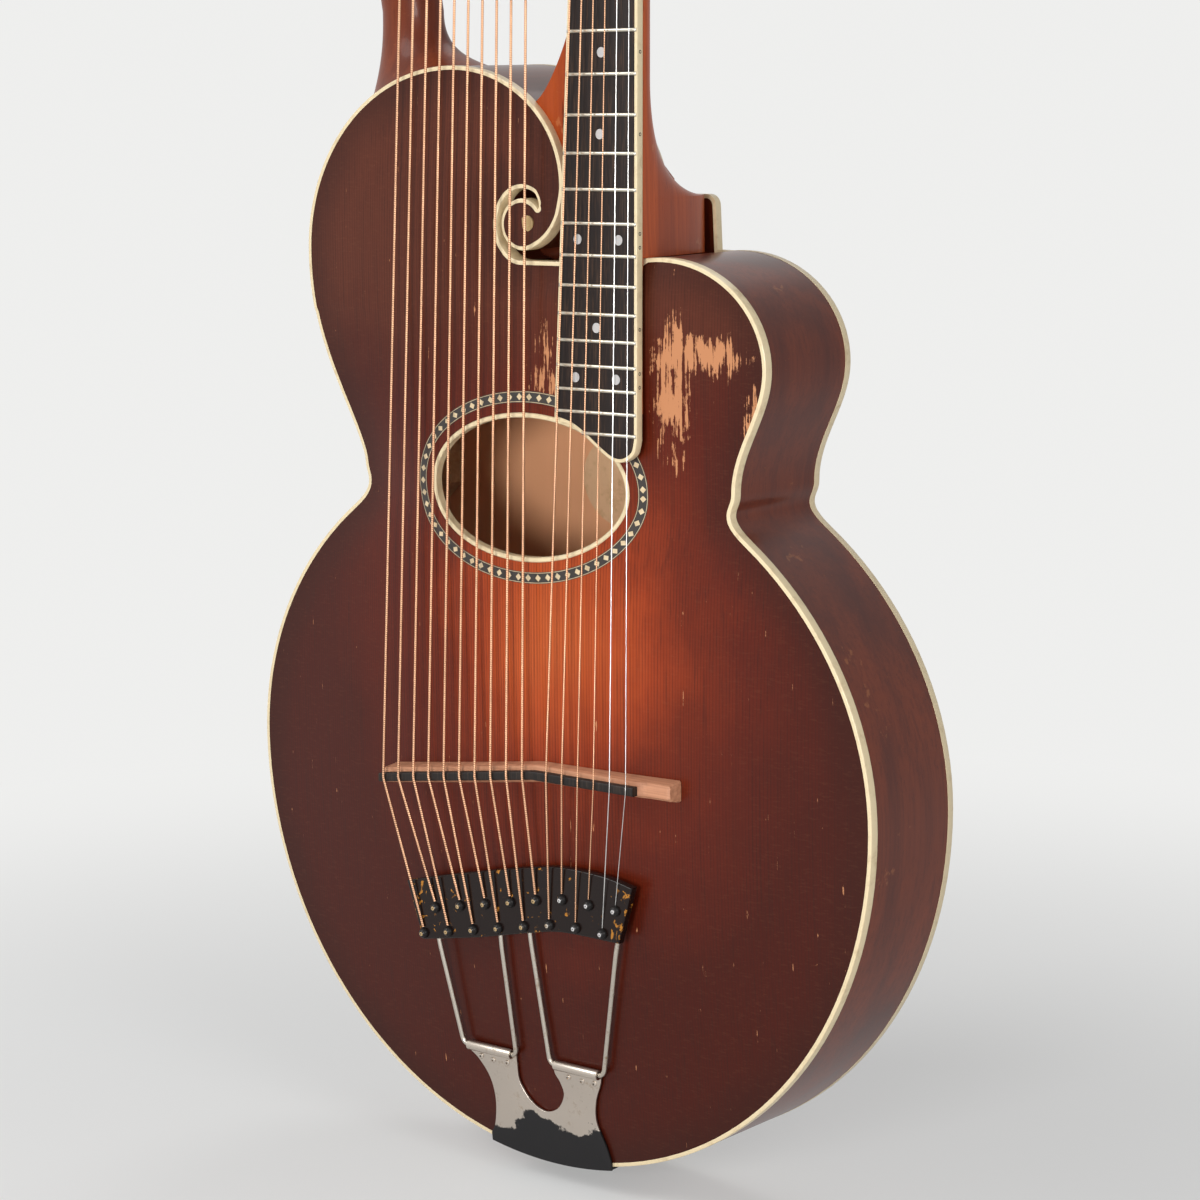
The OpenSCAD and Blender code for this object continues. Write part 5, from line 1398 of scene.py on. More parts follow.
    def wall_at(self, r: Array, q: float) -> Array:
        """The horn's wall at station r (0 at the lip, 1 at its arc's start, 2 up to 9 over it)."""
        t = np.clip((r - 2) / 7, 0, 1)
        a, b = np.radians(90 * t), np.radians(3 + 87 * t)
        f, g = (np.array(centre) + np.array(half) * xy(np.cos(w), np.sin(w)) for centre, half, w in
                ((SHAPE.horn_centre, SHAPE.horn_half, a), (SHAPE.back_centre, SHAPE.back_half, b)))
        lip = SHAPE.slot(0.0)[-1]
        start = f + (g - f) * q
        early = lip + (start - lip) * np.clip(r / 2, 0, 1)[:, None]
        return np.where((r < 2)[:, None], early, start)

    def root_level(self, s: float) -> Array:
        """One level of the root: along the horn's wall, over the cove, down the neck's side."""
        z = -5.0 + (self.floor + 5.0) * s
        drop = s ** 0.55
        crown = 5.4
        top = crown - (crown - 2.6) * drop
        q = (SHAPE.depth - 5) * s / SHAPE.depth
        wall = self.wall_at(np.linspace(0, top, 14), q) - np.array([0.4, 0.2])
        y1 = SHAPE.heel_top + 9 + 115 * (1 - drop)
        finish = np.array([self.offset - float(self.half(y1)) + 0.6 + 9 * s, y1])
        k = 1 - 0.9 * s
        web = bend(wall[-1], np.array([35, 14]) * k, finish, np.array([6, 60]) * k, 24)
        right = self.offset - 12
        left = SHAPE.neck_edges[0]
        ring = np.vstack([[(right, SHAPE.joint_height + 4), (right, y1)], web[1:][::-1], wall[::-1],
                          [(left + 1, wall[0][1] + 2), (left + 1 + 8 * s, SHAPE.joint_height + 4)]])
        return at_height(ring, z)

    def lifted(self, shell: Shell) -> Shell:
        """Carries a shell from the board's plane to the guitar."""
        return shell.moved(self.on_board.out)

    def fingerboard(self) -> None:
        """Ebony board with softened edges inside a bound rim, and black dots on the binding's side."""
        loop = self.board_loop()
        thick = self.board[2]
        board = prism(inset(loop, self.board_binding + self.seat), -thick, 0.0, 0.25)
        add_piece("ebony_fingerboard", self.lifted(board), EBONY, ["fingerboard"])
        rim = prism(loop, -thick, 0.0, 0.5, [inset(loop, self.board_binding)])
        add_piece("fingerboard_edge", self.lifted(rim), BINDING, ["fingerboard_binding"])
        dots = []
        for n in (5, 7, 9, 12, 15, 17):
            for shift in ((-4, 4) if n in (12, 17) else (0,)):
                y = (self.fret_at(n) + self.fret_at(n - 1)) / 2 + shift
                x = float(self.half(self.fret12 + y))
                disc = revolve([(1.0, -0.3), (1.1, 0.02), (0.6, 0.06)], 16)
                dots.append(self.lifted(disc.moved(
                    lambda p, x=x, y=y: np.stack([p[:, 2] + x, p[:, 0] + y, p[:, 1] - thick / 2], -1))))
        add_piece("side_dots", join(dots), BLACK)

    def span(self, loop: Array, y: float) -> tuple[float, float]:
        """Left and right ends of a loop at height y."""
        a, b = loop, np.roll(loop, -1, 0)
        hit = (a[:, 1] > y) != (b[:, 1] > y)
        x = a[hit, 0] + (b[hit, 0] - a[hit, 0]) * (y - a[hit, 1]) / (b[hit, 1] - a[hit, 1])
        return float(x.min()), float(x.max())

    def metal(self) -> None:
        """Frets: a half-round crown, its ends filed at a slant."""
        loop = inset(self.board_loop(), 0.6)
        bars = []
        a = np.linspace(0, np.pi, 13)
        for n in range(1, self.last_fret + 1):
            y = self.fret_at(n)
            low, high = self.span(loop, y)
            xs = np.array([low, low + 0.35, low + 0.9, high - 0.9, high - 0.35, high])
            size = np.array([0.25, 0.72, 1.0, 1.0, 0.72, 0.25])
            ring = [np.column_stack([np.full(13, x), y + 1.1 * np.cos(a), self.seat + 1.1 * k * np.sin(a)])
                    for x, k in zip(xs, size)]
            bars.append(sweep(np.stack(ring)))
        add_piece("fret_wires", self.lifted(join(bars)), FRET, ["frets"])


NECK = Neck()


# ---- heads, arm and tuners --------------------------------------------------------------------


@dataclass
class Heads:
    """The neck's head and the sub-bass head, cut from one board, and the arm.

    Attributes:
        half: Half the neck head's width.
        post_corner: From the neck head's side to the inner corner of the sub-bass head.
        shaft_offset: From a post to its worm's shaft.
        button_reach: From a shaft to the far edge of its turning button.
        button_clear: Room between the last button and the corner.
    """

    half: float = 38.0
    length: float = 200.0
    bass_top: float = 72.0
    bass_end: float = 156.0
    arm_offset: float = 134.0
    arm_width: float = 42.0
    arm_depth: float = 32.0
    post_line: float = 56.0
    post_pitch: float = 14.4
    post_corner: float = 4.0
    shaft_offset: float = 6.12669
    button_reach: float = 6.6
    button_clear: float = 2.5
    foot_reach: float = 48.0
    foot_depth: float = 33.0
    flare_top: float = 470.0
    post_rows: tuple[float, float, float] = (118.0, 150.0, 182.0)
    nut_step: float = 10.7
    nut_last: float = -2.2
    slope: float = 7.8

    def bass_nut(self, k: int) -> tuple[float, float]:
        """Place of a sub-bass string on its nut, across and along the head."""
        x = self.nut_last - (9 - k) * self.nut_step
        first = self.nut_last - 9 * self.nut_step
        return x, 14 + (x - first) * math.tan(math.radians(self.slope))

    def bass_post(self, k: int) -> tuple[float, float]:
        """Place of a sub-bass post on the head."""
        room = self.post_corner + self.shaft_offset + self.button_reach + self.button_clear
        return NECK.offset - self.half - room - (9 - k) * self.post_pitch, self.post_line

    def neck_post(self, k: int) -> tuple[float, float]:
        """Place of a neck string's post on the head."""
        side = Side.BASS if k < 3 else Side.TREBLE
        return NECK.offset + side.value * (self.half - 13), self.post_rows[k if k < 3 else 5 - k]

    def outline(self) -> Array:
        """The board's outline, anticlockwise."""
        n, half, length = NECK.offset, self.half, self.length
        top = through([(n + 22.75, 0), (n + 26.75, 26), (n + half - 2, 96), (n + half, length - 22),
                       (n + half * 0.6, length - 5), (n, length), (n - half * 0.6, length - 5),
                       (n - half, length - 22), (n - half + 2, self.bass_top + 30),
                       (n - half - 4, self.bass_top + 6), (n - half - 18, self.bass_top)], 9)
        turn = arc((26 - self.bass_end, self.bass_top - 26), (26, 26), 90, 180, 18)
        places = [self.bass_nut(k) for k in (0, 5, 9)]
        right = -self.arm_offset + self.arm_width / 2
        under = through([(right, 5), (places[0][0] - 2, places[0][1] - 6), (places[1][0], places[1][1] - 7),
                         (places[2][0], places[2][1] - 7), (n - 22.75 - 9, 13), (n - 22.75, 0)], 9)
        return np.vstack([top, turn, [(-self.arm_offset - self.arm_width / 2, 5)], under])

    def build(self) -> None:
        """Makes the board, the arm and the post ferrules."""
        spots = [self.bass_post(k) for k in range(10)] + [self.neck_post(k) for k in range(6)]
        holes = [circle(s, 3.15) for s in spots]
        board = prism(self.outline(), -NECK.head_thickness, 0.0, 1.6, holes, 5)
        add_piece("head_board", board.moved(NECK.on_head.out), HEAD_WOOD, ["headstock"])
        profile = ((3.4, 0.02), (5.2, 0.02), (5.0, 0.5), (4.0, 0.8), (3.4, 0.7))
        rings = [sweep(np.stack([at_height(circle(s, r), h) for r, h in profile], 1), True) for s in spots]
        add_piece("post_ferrules", join(rings).moved(NECK.on_head.out), TUNER)
        self.arm()
        dress("nuts", BONE)
        dress("tuner_plates", TUNER)

    def arm(self) -> None:
        """A foot spread over the horn's rim, a shaft with a soft ridge, and a top that meets the head."""
        a = np.linspace(0, 2 * np.pi, 56, endpoint=False)
        ridge = np.abs(np.sin(a)) ** 0.9 * np.sign(np.sin(a))
        middle, flare, wide, thick = -SHAPE.depth / 2, self.flare_top, self.arm_width / 2, self.arm_depth / 2
        board = NECK.head_thickness / 2
        centre, half = SHAPE.bass_centre, SHAPE.bass_half
        rings = []
        for u in np.linspace(0, 1, 20):
            g = (1 - u) ** 2.4
            w = wide + (self.foot_reach - wide) * g
            d = thick + (self.foot_depth - thick) * g
            x = (11 - self.arm_offset) * g - self.arm_offset * (1 - g) + w * np.cos(a)
            across = np.clip((np.maximum(x, -187) - centre[0]) / half[0], -1, 1)
            rim = centre[1] + half[1] * np.sqrt(1 - across ** 2)
            rings.append(np.column_stack([x, (rim - 1.2) * (1 - u) + flare * u, middle + d * ridge]))
        top_y = NECK.head_y + 5 * math.cos(math.radians(NECK.head_tilt))
        goal = NECK.head_z - board
        for u in np.linspace(0, 1, 16)[1:]:
            d = thick + (board - thick) * u ** 3
            rings.append(np.column_stack([-self.arm_offset + wide * np.cos(a),
                                          np.full(56, flare + (top_y - 14 - flare) * u),
                                          middle + (goal + 3 - middle) * u + d * ridge]))
        end = np.column_stack([-self.arm_offset + wide * np.cos(a), np.full(56, 4.95), board * (ridge - 1)])
        rings.append(NECK.on_head.out(end))
        add_piece("hollow_arm", sweep(np.stack(rings)), ARM_WOOD, ["harp_arm"], crease=50)


@dataclass
class Tuner:
    """One geared tuner in its post's frame: x to the worm's side, y to the button, z out of the head."""

    spot: tuple[float, float]
    turn: float
    button_y: float
    number: int
    family: str
    pitch: float = 2.2
    teeth: int = 12
    wheel_z: float = -18.8
    crest: float = 2.3
    root: float = 1.45

    def __post_init__(self) -> None:
        """Works out the wheel's radius and the shaft's distance from the post."""
        self.wheel = self.teeth * self.pitch / (2 * math.pi)
        self.offset = self.wheel + (self.crest + self.root) / 2 + 0.05

    def placed(self, shell: Shell) -> Shell:
        """Turns a shell about the post, sets it on its spot and leans it with the head."""
        c, s = math.cos(math.radians(self.turn)), math.sin(math.radians(self.turn))
        return shell.moved(lambda p: NECK.on_head.out(np.stack(
            [p[:, 0] * c - p[:, 1] * s + self.spot[0],
             p[:, 0] * s + p[:, 1] * c + self.spot[1], p[:, 2]], -1)))

    def along_shaft(self, shell: Shell) -> Shell:
        """Lays a shell that stands on z along the shaft's line."""
        return shell.moved(lambda p: np.stack([p[:, 1] + self.offset, p[:, 2], p[:, 0] + self.wheel_z], -1))

    def worm(self) -> Shell:
        """A screw: rings along the shaft whose radius follows the turn's fraction."""
        length, sides, rows = 3.5 * self.pitch, 24, 64
        a = np.linspace(0, 2 * np.pi, sides, endpoint=False)
        h = length * (np.linspace(0, 1, rows + 1) - 0.5)
        f = (h[:, None] - self.pitch * 0.75) / self.pitch - a[None] / (2 * np.pi)
        v = np.abs((f - np.floor(f)) * 2 - 1)
        tooth = np.clip(v * 1.7 - 0.6, 0, 1)
        tooth[[0, -1]] = 0
        r = self.root + (self.crest - self.root) * tooth
        rings = np.stack([r * np.sin(a), np.repeat(h[:, None], sides, 1), r * np.cos(a)], -1)
        return sweep(rings + np.array([self.offset, 0, self.wheel_z]))

    def build(self) -> None:
        """Makes button, shaft with its worm, post with its wheel, and the string's turns."""
        button_body, post_body = f"{self.family}_button_{self.number}", f"{self.family}_post_{self.number}"
        tag = f"{self.family}_{self.number}"
        far = self.button_y
        shaft = self.along_shaft(revolve([(0.9, -6.05), (1.2, -5.75), (1.2, far + 2.6), (0.8, far + 3)], 20))
        add_piece(f"worm_shaft_{tag}", self.placed(join([shaft, self.worm()])), TUNER,
                  body=button_body)
        h = np.linspace(0, 1, 15)
        width = 2.4 + 3.9 * np.sin(np.pi * np.clip(h * 0.82 + 0.1, 0, 1)) ** 0.8
        thick = 1.9 + 1.05 * np.sin(np.pi * h) ** 0.5
        a = np.linspace(0, 2 * np.pi, 28, endpoint=False)
        ring = [np.column_stack([self.offset + w * np.cos(a), np.full(28, self.button_y + 12.4 * t),
                                 self.wheel_z + k * np.sin(a)]) for w, k, t in zip(width, thick, h)]
        add_piece(f"button_{tag}", self.placed(sweep(np.stack(ring))), BUTTON,
                  [button_body], body=button_body, crease=50)
        post = revolve([(2.2, self.wheel_z - 1.4), (2.2, self.wheel_z - 0.7), (3.0, self.wheel_z - 0.5),
                        (3.0, 9.6), (2.85, 10.6), (2.2, 11.0)], 28)
        teeth = np.linspace(0, 2 * np.pi, self.teeth * 10, endpoint=False)
        wave = np.clip(np.cos(teeth * self.teeth) * 1.6, -1, 1)
        r = self.wheel + np.where(wave > 0, 0.36 * wave, 0.61 * wave)
        wheel = sweep(np.stack([np.column_stack([k * r * np.cos(teeth), k * r * np.sin(teeth),
                                                 np.full(len(teeth), self.wheel_z + h)])
                                for k, h in ((0.96, -0.6), (1.0, -0.45), (1.0, 0.45), (0.96, 0.6))]))
        add_piece(f"post_{tag}", self.placed(join([post, wheel])), TUNER, [post_body],
                  body=post_body)
        t = np.linspace(0, 1, 80)
        turns = 4.0 * 2 * np.pi * t
        coil = np.stack([3.42 * np.cos(turns), 3.42 * np.sin(turns), 3.4 + 4.2 * t], -1)
        add_piece(f"string_turns_{tag}", self.placed(tube(coil, 0.44, 6)), BRONZE,
                  body=post_body)


HEADS = Heads()


def build_tuners() -> None:
    """Makes the ten sub-bass tuners and the six neck tuners."""
    for k in range(10):
        Tuner(HEADS.bass_post(k), 0.0, 21.0, k + 1, "bass").build()
    for k in range(6):
        Tuner(HEADS.neck_post(k), 90.0 if k < 3 else -90.0, 18.0, k + 1, "neck").build()


# ---- bridge, tailpiece and strings ------------------------------------------------------------


@dataclass
class Stringing:
    """Places of all sixteen strings, and the strings themselves."""

    last_x: float = 7.3
    spacing: float = 12.9
    slope: float = 7.8
    spread: float = 61.5
    nut_spread: float = 38.0
    action: float = 3.0
    bass_radius: float = 0.8
    nut_lift: float = 2.2
    nut_back: float = 0.7

    def __post_init__(self) -> None:
        """Works out the saddle's line and the strings' slope."""
        c = math.cos(math.radians(NECK.set_back))
        self.saddle_line = NECK.fret12 - NECK.reach * c
        self.nut_y = NECK.fret12 + (NECK.reach + NECK.nut - self.nut_back) * c
        fall = (self.action - self.nut_lift) / (self.nut_y - NECK.fret12)
        self.tilt = math.tan(math.radians(NECK.set_back)) + fall
        self.bend_x = (self.last_x + self.neck_saddle(0)) / 2 - 3
        self.saddle_top = float(self.string_z(self.saddle_line)) - self.bass_radius - 0.05

    def string_z(self, y: float) -> float:
        """Height of the strings' plane at height y."""
        return NECK.rise + self.action - (y - NECK.fret12) * self.tilt

    def bass_saddle(self, k: int) -> float:
        """Place of a sub-bass string on the saddle."""
        return self.last_x - (9 - k) * self.spacing

    def neck_saddle(self, k: int) -> float:
        """Place of a neck string on the saddle."""
        return NECK.offset + self.spread * (k / 5 - 0.5)

    def neck_radius(self, k: int) -> float:
        """Radius of a neck string."""
        return 0.62 - 0.08 * k

    def saddle_y(self, x: Array) -> Array:
        """The saddle's line: square to the neck strings, sloping under the sub-bass strings."""
        past = np.maximum(0, self.bend_x - np.asarray(x, float))
        return self.saddle_line - past * math.tan(math.radians(self.slope))

    def rise_at(self, s: float) -> float:
        """Height over the head's plane at which the strings' plane passes, s up the head."""
        c, n = math.cos(math.radians(NECK.head_tilt)), math.sin(math.radians(NECK.head_tilt))
        y = NECK.head_y + s / c
        return (y - NECK.head_y) * n + (self.string_z(y) - NECK.head_z) * c

    def route(self, k: int, r: float, saddle: float, nut: Sequence[float], post: Sequence[float],
              side: int) -> tuple[Array, float]:
        """One string's route, over the saddle and the nut to its own side of the post."""
        over = (saddle, float(self.saddle_y(saddle)), self.saddle_top + r + 0.05)
        hold = NECK.on_head.out(np.array([post[0] + side * (4.2 + r), post[1], 5.5]))
        return np.array([TAIL.pin_point(k, r), over, nut, hold]), r

    def paths(self) -> list[tuple[Array, float]]:
        """The sixteen routes, from pin to post, with their radii."""
        routes = []
        for k in range(10):
            x, s = HEADS.bass_nut(k)
            post = HEADS.bass_post(k)
            nut = NECK.on_head.out(np.array([x, s, self.rise_at(s)]))
            routes.append(self.route(k, self.bass_radius, self.bass_saddle(k), nut, post,
                                     1 if x > post[0] else -1))
        for k in range(6):
            nut = (NECK.offset + self.nut_spread * (k / 5 - 0.5), self.nut_y,
                   float(NECK.board_z(self.nut_y)) + self.nut_lift)
            routes.append(self.route(k + 10, self.neck_radius(k), self.neck_saddle(k), nut,
                                     HEADS.neck_post(k), 1 if k < 3 else -1))
        return routes

    def build(self) -> None:
        """Wound strings, and the two plain ones."""
        routes = self.paths()
        wound = join([tube(rounded(p, 1.5, 3), r, 10) for p, r in routes[:14]])
        plain = join([tube(rounded(p, 1.5, 3), r, 8) for p, r in routes[14:]])
        add_piece("wound_strings", wound, BRONZE, ["strings"])
        add_piece("plain_strings", plain, STEEL)


@dataclass
class Bridge:
    """Floating bridge: a base of bare wood fitted to the arch, and a black notched saddle strip."""

    width: float = 12.0
    strip: float = 5.5
    strip_height: float = 4.5

    def build(self) -> None:
        """Makes base and saddle."""
        left, right = STRINGS.bass_saddle(0) - 5, STRINGS.neck_saddle(5) + 28
        saddle_right = STRINGS.neck_saddle(5) + 5
        top = STRINGS.saddle_top - self.strip_height
        v = np.array([-6.0, -5.6, -4.2, -2.9, -2.6, 2.6, 5.4, 5.8, 6.6, 7.0, 4.5, 0.0, -4.0])
        w = np.array([0.0, 0.30, 0.80, 0.96, 1.0, 1.0, 1.0, 0.93, 0.30, 0.0, 0.0, 0.0, 0.0])
        rings = []
        tips = np.array([0, 0.4, 1.2])
        for x in np.concatenate([left + tips, np.linspace(left + 3, right - 3, 70), right - tips[::-1]]):
            end = min(1.0, 0.86 + min(x - left, right - x) * 0.12)
            y = float(STRINGS.saddle_y(x)) + v * end
            low = SHAPE.top_z(xy(np.full(len(v), x), y)) + 0.3
            drop = 1.6 * float(ease(np.array((x - saddle_right) / 3.0))) + (1 - end) * 6
            rings.append(np.column_stack([np.full(len(v), x), y, low + (top - drop - low) * w]))
        add_piece("bridge_foot", sweep(np.stack(rings)), BRIDGE_WOOD, ["bridge_base"],
                  crease=45)
        notch = np.array([*map(STRINGS.bass_saddle, range(10)), *map(STRINGS.neck_saddle, range(6))])
        near = np.concatenate([n + np.linspace(-1.3, 1.3, 9) for n in notch])
        xs = np.unique(np.concatenate([np.linspace(left, saddle_right, 160), near]))
        cut = np.max(np.clip(1 - ((xs[:, None] - notch) / 1.1) ** 2, 0, 1), 1) * 0.45
        a = np.array([-1.0, -1.0, -0.86, -0.55, 0.55, 0.86, 1.0, 1.0]) * self.strip / 2
        h = np.array([0.0, 0.84, 0.95, 1.0, 1.0, 0.95, 0.84, 0.0])
        tall = (self.strip_height - 0.02) - cut
        y = STRINGS.saddle_y(xs)[:, None] + a[None]
        z = top + 0.05 + tall[:, None] * h[None]
        strip = sweep(np.stack([np.repeat(xs[:, None], 8, 1), y, z], -1))
        add_piece("saddle_strip", strip, SADDLE, ["bridge_saddle"], crease=40)


@dataclass
class Tailpiece:
    """Pin block on two wire loops, hinged to a nickel hanger that is held by the end pin."""

    left: float = -96.0
    pitch: float = 10.45
    rise: float = 19.5
    thickness: float = 6.0
    rod: float = 1.6
    sheet: float = 1.6
    hinge_height: float = 66.0
    hinge_z: float = 10.0
    tail: float = 243.0
    tail_half: float = 243.5
    feet: tuple = (((-78.5, -95), (-64, -20), (-24.5, -87)), ((-1, -80), (7.7, 50.7), (72, -78)))

    def pin(self, k: int) -> tuple[float, float]:
        """Place of a pin: two rows that follow the block's bend."""
        x = self.left + 14.2 + k * self.pitch
        return x, -79 + 0.21 * min(x, 30 + (x - 30) * -0.05) + 8 * (k % 2 * 2 - 1)

    def pin_point(self, k: int, r: float) -> tuple[float, float, float]:
        """Where a string leaves its pin."""
        x, y = self.pin(k)
        return x, y + 3.4 + r, self.rise + self.thickness + r + 0.05

    def build(self) -> None:
        """Makes block, pins, rods, hanger and end pin."""
        head = through([(-96, -72), (-45, -59.6), (6.7, -48.5), (34, -44.7), (66, -45.6), (87.5, -49.5)], 8)
        foot = through([(76.5, -85.5), (32.4, -85.6), (5.6, -90.3), (-35.5, -99.6), (-83.5, -108.6)], 8)
        loop = np.vstack([foot[::-1], head[::-1]])
        add_piece("pin_block_plate", prism(loop, self.rise, self.rise + self.thickness, 1.1, steps=4),
                  Tortoise(), ["tailpiece_block"])
        dome = [(1.7, -5.9), (1.7, 0.05), (3.3, 0.05), (3.35, 0.7), (3.15, 1.5), (2.6, 2.4), (1.7, 3.1),
                (1.25, 3.28)]
        eye = [(1.3, 3.0), (1.3, 3.3), (1.0, 3.48), (0.4, 3.55)]
        top = self.rise + self.thickness
        spots = [np.array([*self.pin(k), top]) for k in range(16)]
        pins, eyes = (join([revolve(line, sides).moved(lambda p, s=s: p + s) for s in spots])
                      for line, sides in ((dome, 28), (eye, 20)))
        add_piece("string_pins", pins, BLACK, ["tailpiece_pins"])
        add_piece("pin_eyes", eyes, Pearl())
        self.rods()
        self.hanger()
        self.end_pin()

    def rods(self) -> None:
        """Two bent wires, hooked under the block and hinged in the hanger's rolls."""
        y, under = -self.tail + self.hinge_height, self.rise - self.rod - 0.05
        wires = []
        for a, (x0, x1), b in self.feet:
            knee = lambda t, f: (t[0] + (f[0] - t[0]) * 16 / (t[1] - f[1]), t[1] - 16, under)
            left, right = (x0, y, self.hinge_z), (x1, y, self.hinge_z)
            path = rounded([(*a, under), knee(a, left), left, right, knee(b, right), (*b, under)], 5.0, 8)
            wires.append(tube(path, self.rod, 14))
        add_piece("wire_loops", join(wires), ROD, ["tailpiece_rods"], crease=60)

    def tail_y(self, x: Array, d: Array | float) -> Array:
        """The tail's edge moved out by d."""
        return -(self.tail + d) * np.sqrt(1 - (x / (self.tail_half + d)) ** 2)

    def hanger(self) -> None:
        """Nickel sheet: a leaning plate with a cut-out, rolls on its hinge line, a tongue over the ribs."""
        y0, roll = -self.tail + self.hinge_height, self.rod + self.sheet
        slope = math.atan((self.hinge_z - roll - 0.3) / (self.hinge_height - 0.3))
        c, s = math.cos(slope), math.sin(slope)
        edge_x = np.linspace(-49, 49, 40)
        edge = xy(edge_x, (self.tail_y(edge_x, 1.9) - y0) / c)
        loop = np.vstack([
            through([(-62, 0), (-62, -3), (-54, -9), (-46, -20), (-43, -34), (-45, -50), (-49, -58)], 8),
            edge,
            through([(49, -58), (46, -48), (40, -33), (41, -19), (46, -6), (46.5, 0)], 8),
            through([(9, 0), (9, -6), (13, -12), (15, -20), (9, -30), (-2, -34), (-13, -29), (-21, -18),
                     (-22, -6), (-22, 0)], 8)])
        sheet = prism(loop, 0.0, self.sheet, 0.3)
        lean = lambda p: np.stack([p[:, 0], y0 + p[:, 1] * c - p[:, 2] * s,
                                   self.hinge_z - roll + p[:, 1] * s + p[:, 2] * c], -1)
        plate_part = sheet.moved(lean)
        drop = np.array([(-49, 1.6), (-46, -14), (-18, -34), (-16, -54),
                         (16, -54), (18, -34), (46, -14), (49, 1.6)])
        drop = rounded(np.vstack([drop, drop[:1]]), 5, 5)[:-1]
        tongue = plate([drop], lambda p: np.full(len(p), 1.9), lambda p: np.full(len(p), 0.3), 6.0)
        tongue = tongue.moved(lambda p: np.stack(
            [p[:, 0], self.tail_y(p[:, 0], p[:, 2]), p[:, 1]], -1))
        barrels = []
        for _, (x0, x1), _ in self.feet:
            long = x1 - x0 - 8
            barrel = revolve([(2.0, 0.0), (roll - 0.1, 0.1), (roll, 0.5), (roll, long - 0.5),
                              (roll - 0.1, long - 0.1), (2.0, long)], 28)
            barrels.append(barrel.moved(lambda p, x=x0 + 4: np.stack(
                [p[:, 2] + x, p[:, 0] + y0, p[:, 1] + self.hinge_z], -1)))
        add_piece("hanger_plate", join([plate_part, tongue, *barrels]), PLATED,
                  ["tailpiece_hanger"], crease=40)
        cap = ((1.9, -0.1), (1.9, 0.25), (1.5, 0.7), (0.7, 0.9))
        rivet = revolve([(radius, self.sheet + rise) for radius, rise in cap], 20)
        spots = [(-52, -6.5), (-42, -7.5), (-30, -7.0), (20, -7.0), (31, -7.5), (41, -7.0)]
        rivets = join([rivet.moved(lambda p, a=a: lean(p + np.array([*a, 0]))) for a in spots])
        add_piece("hanger_rivets", rivets, PLATED)

    def end_pin(self) -> None:
        """Turned end pin, standing out of the tail."""
        line = through([(7, 1.95), (7, 3.6), (4.2, 4.6), (3.8, 7), (4.4, 9), (7.6, 10.2), (8, 12),
                        (6.5, 13.6), (3, 14.5), (0.8, 14.68)], 6)
        pin = revolve(np.vstack([[(3.45, -20), (3.45, 1.95)], line]), 40)
        pin = pin.moved(lambda p: np.stack([p[:, 0], -self.tail - p[:, 2], p[:, 1] - 42], -1))
        add_piece("turned_end_pin", pin, BLACK, ["end_pin"])


TAIL = Tailpiece()
STRINGS = Stringing()


# ---- studio -----------------------------------------------------------------------------------


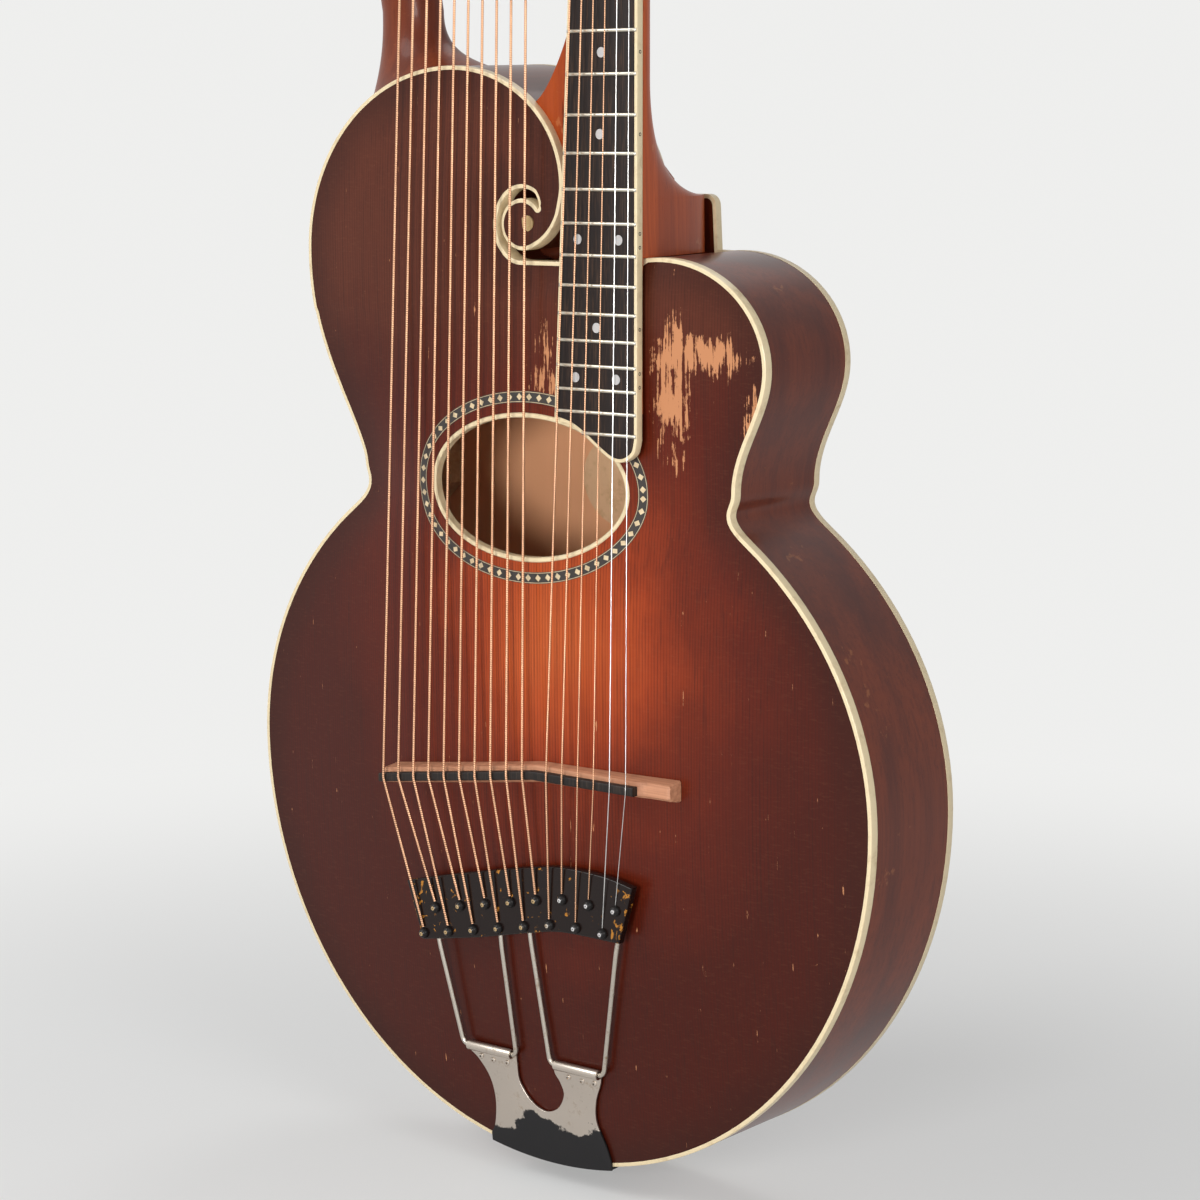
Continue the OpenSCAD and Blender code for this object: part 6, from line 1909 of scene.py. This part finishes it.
@dataclass
class Studio:
    """Pale floor and surroundings, soft lamps, and the camera that took the picture."""

    eye: tuple[float, float, float] = (1256.67, 433.16, 1461.31)
    forward: tuple[float, float, float] = (-0.6295, -0.1641, -0.7595)
    up: tuple[float, float, float] = (-0.0923, 0.9863, -0.1367)
    lens: float = 95.97
    pale: Color = (0.86, 0.86, 0.85)

    def camera(self) -> None:
        """Sets the camera from the measured place and directions."""
        data = bpy.data.cameras.new("view")
        data.lens, data.sensor_width, data.sensor_fit = self.lens, 36.0, "HORIZONTAL"
        data.clip_start, data.clip_end = 0.05, 50.0
        back = -PLACE.turn(self.forward).normalized()
        right = PLACE.turn(self.up).cross(back).normalized()
        top = back.cross(right)
        eye = PLACE.to_row(np.array(self.eye))
        camera = bpy.data.objects.new("view", data)
        camera.matrix_world = Matrix(((right.x, top.x, back.x, eye[0]), (right.y, top.y, back.y, eye[1]),
                                      (right.z, top.z, back.z, eye[2]), (0, 0, 0, 1)))
        bpy.context.scene.collection.objects.link(camera)
        bpy.context.scene.camera = camera

    def floor(self) -> None:
        """A wide plain floor just under the body, which glows like the room far from the object."""
        z = float(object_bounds()[0][2]) - 0.002
        mesh = bpy.data.meshes.new("floor")
        x, y = np.meshgrid((-6, 6), (-6, 6))
        mesh.from_pydata(at_height(xy(x.ravel(), y.ravel()), z).tolist(), [], [(0, 1, 3, 2)])
        p = Paint("floor_paper")
        soft = p.noise(400, detail=1)
        tone = p.mix(soft, self.pale, tuple(c * 0.985 for c in self.pale))
        p.surface(tone, 0.9)
        plain = Socket(p, p.tree.nodes["Principled BSDF"].outputs["BSDF"])
        glow = p.node("ShaderNodeEmission", {}, {"Color": self.pale, "Strength": 1.0}, "Emission")
        far = ((p.x / 1000.0) ** 2.0 + (p.z / 1000.0) ** 2.0) ** 0.5
        share = (far.between(0.3, 1.3) * 0.65 + 0.35) * self.seen(p)
        p.node_output(p.node("ShaderNodeMixShader", {}, {0: share, 1: plain, 2: glow}, "Shader"))
        mesh.materials.append(p.made)
        floor = bpy.data.objects.new("floor", mesh)
        bpy.context.scene.collection.objects.link(floor)
        floor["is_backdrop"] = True

    @staticmethod
    def seen(p: Paint) -> Socket:
        """Is 1 for the rays that see the room: from the camera, or by way of metal and glass."""
        kinds = ("Camera", "Glossy", "Transmission")
        rays = [p.node("ShaderNodeLightPath", {}, {}, f"Is {kind} Ray") for kind in kinds]
        return rays[0].of("MAXIMUM", rays[1].of("MAXIMUM", rays[2]))

    def lamps(self) -> None:
        """A large soft key from the left front, a lamp near the camera, one at the right, and an even sky."""
        for name, place, target, size, power in (
                ("key", (-1.6, -2.2, 1.5), (-0.05, 0.0, -0.35), 1.6, 38.0),
                ("front", (0.55, -2.1, -0.30), (-0.05, 0.0, -0.45), 0.7, 27.0),
                ("fill", (2.3, -0.9, 0.5), (0.0, 0.0, -0.35), 1.4, 17.0),
                ("edge", (-0.4, 1.6, 1.9), (0.0, 0.0, -0.3), 1.2, 10.0)):
            light = bpy.data.lights.new(name, "AREA")
            light.shape, light.size, light.energy = "DISK", size, power
            lamp = bpy.data.objects.new(name, light)
            lamp.location = place
            aim = Vector(target) - Vector(place)
            lamp.rotation_euler = aim.to_track_quat("-Z", "Y").to_euler()
            bpy.context.scene.collection.objects.link(lamp)
        world = bpy.data.worlds.new("room")
        bpy.context.scene.world = world
        world.use_nodes = True
        sky = Paint.on(world.node_tree)
        light, shown = (sky.node("ShaderNodeBackground", {}, {"Color": color, "Strength": power},
                                 "Background")
                        for color, power in (((0.95, 0.97, 1.0), 0.25), (self.pale, 1.0)))
        both = sky.node("ShaderNodeMixShader", {}, {0: self.seen(sky), 1: light, 2: shown}, "Shader")
        sky.node_output(both, "ShaderNodeOutputWorld")

    def build(self) -> None:
        """Makes the studio."""
        self.camera()
        self.floor()
        self.lamps()
        bpy.context.scene.view_settings.view_transform = "Standard"


def main() -> None:
    """Builds the studio, then every sub-assembly."""
    logging.basicConfig(level=logging.INFO, format="%(name)s: %(message)s")
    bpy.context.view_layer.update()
    Studio().build()
    Body().build()
    NECK.build()
    HEADS.build()
    build_tuners()
    STRINGS.build()
    Bridge().build()
    TAIL.build()


if __name__ == "__main__":
    main()
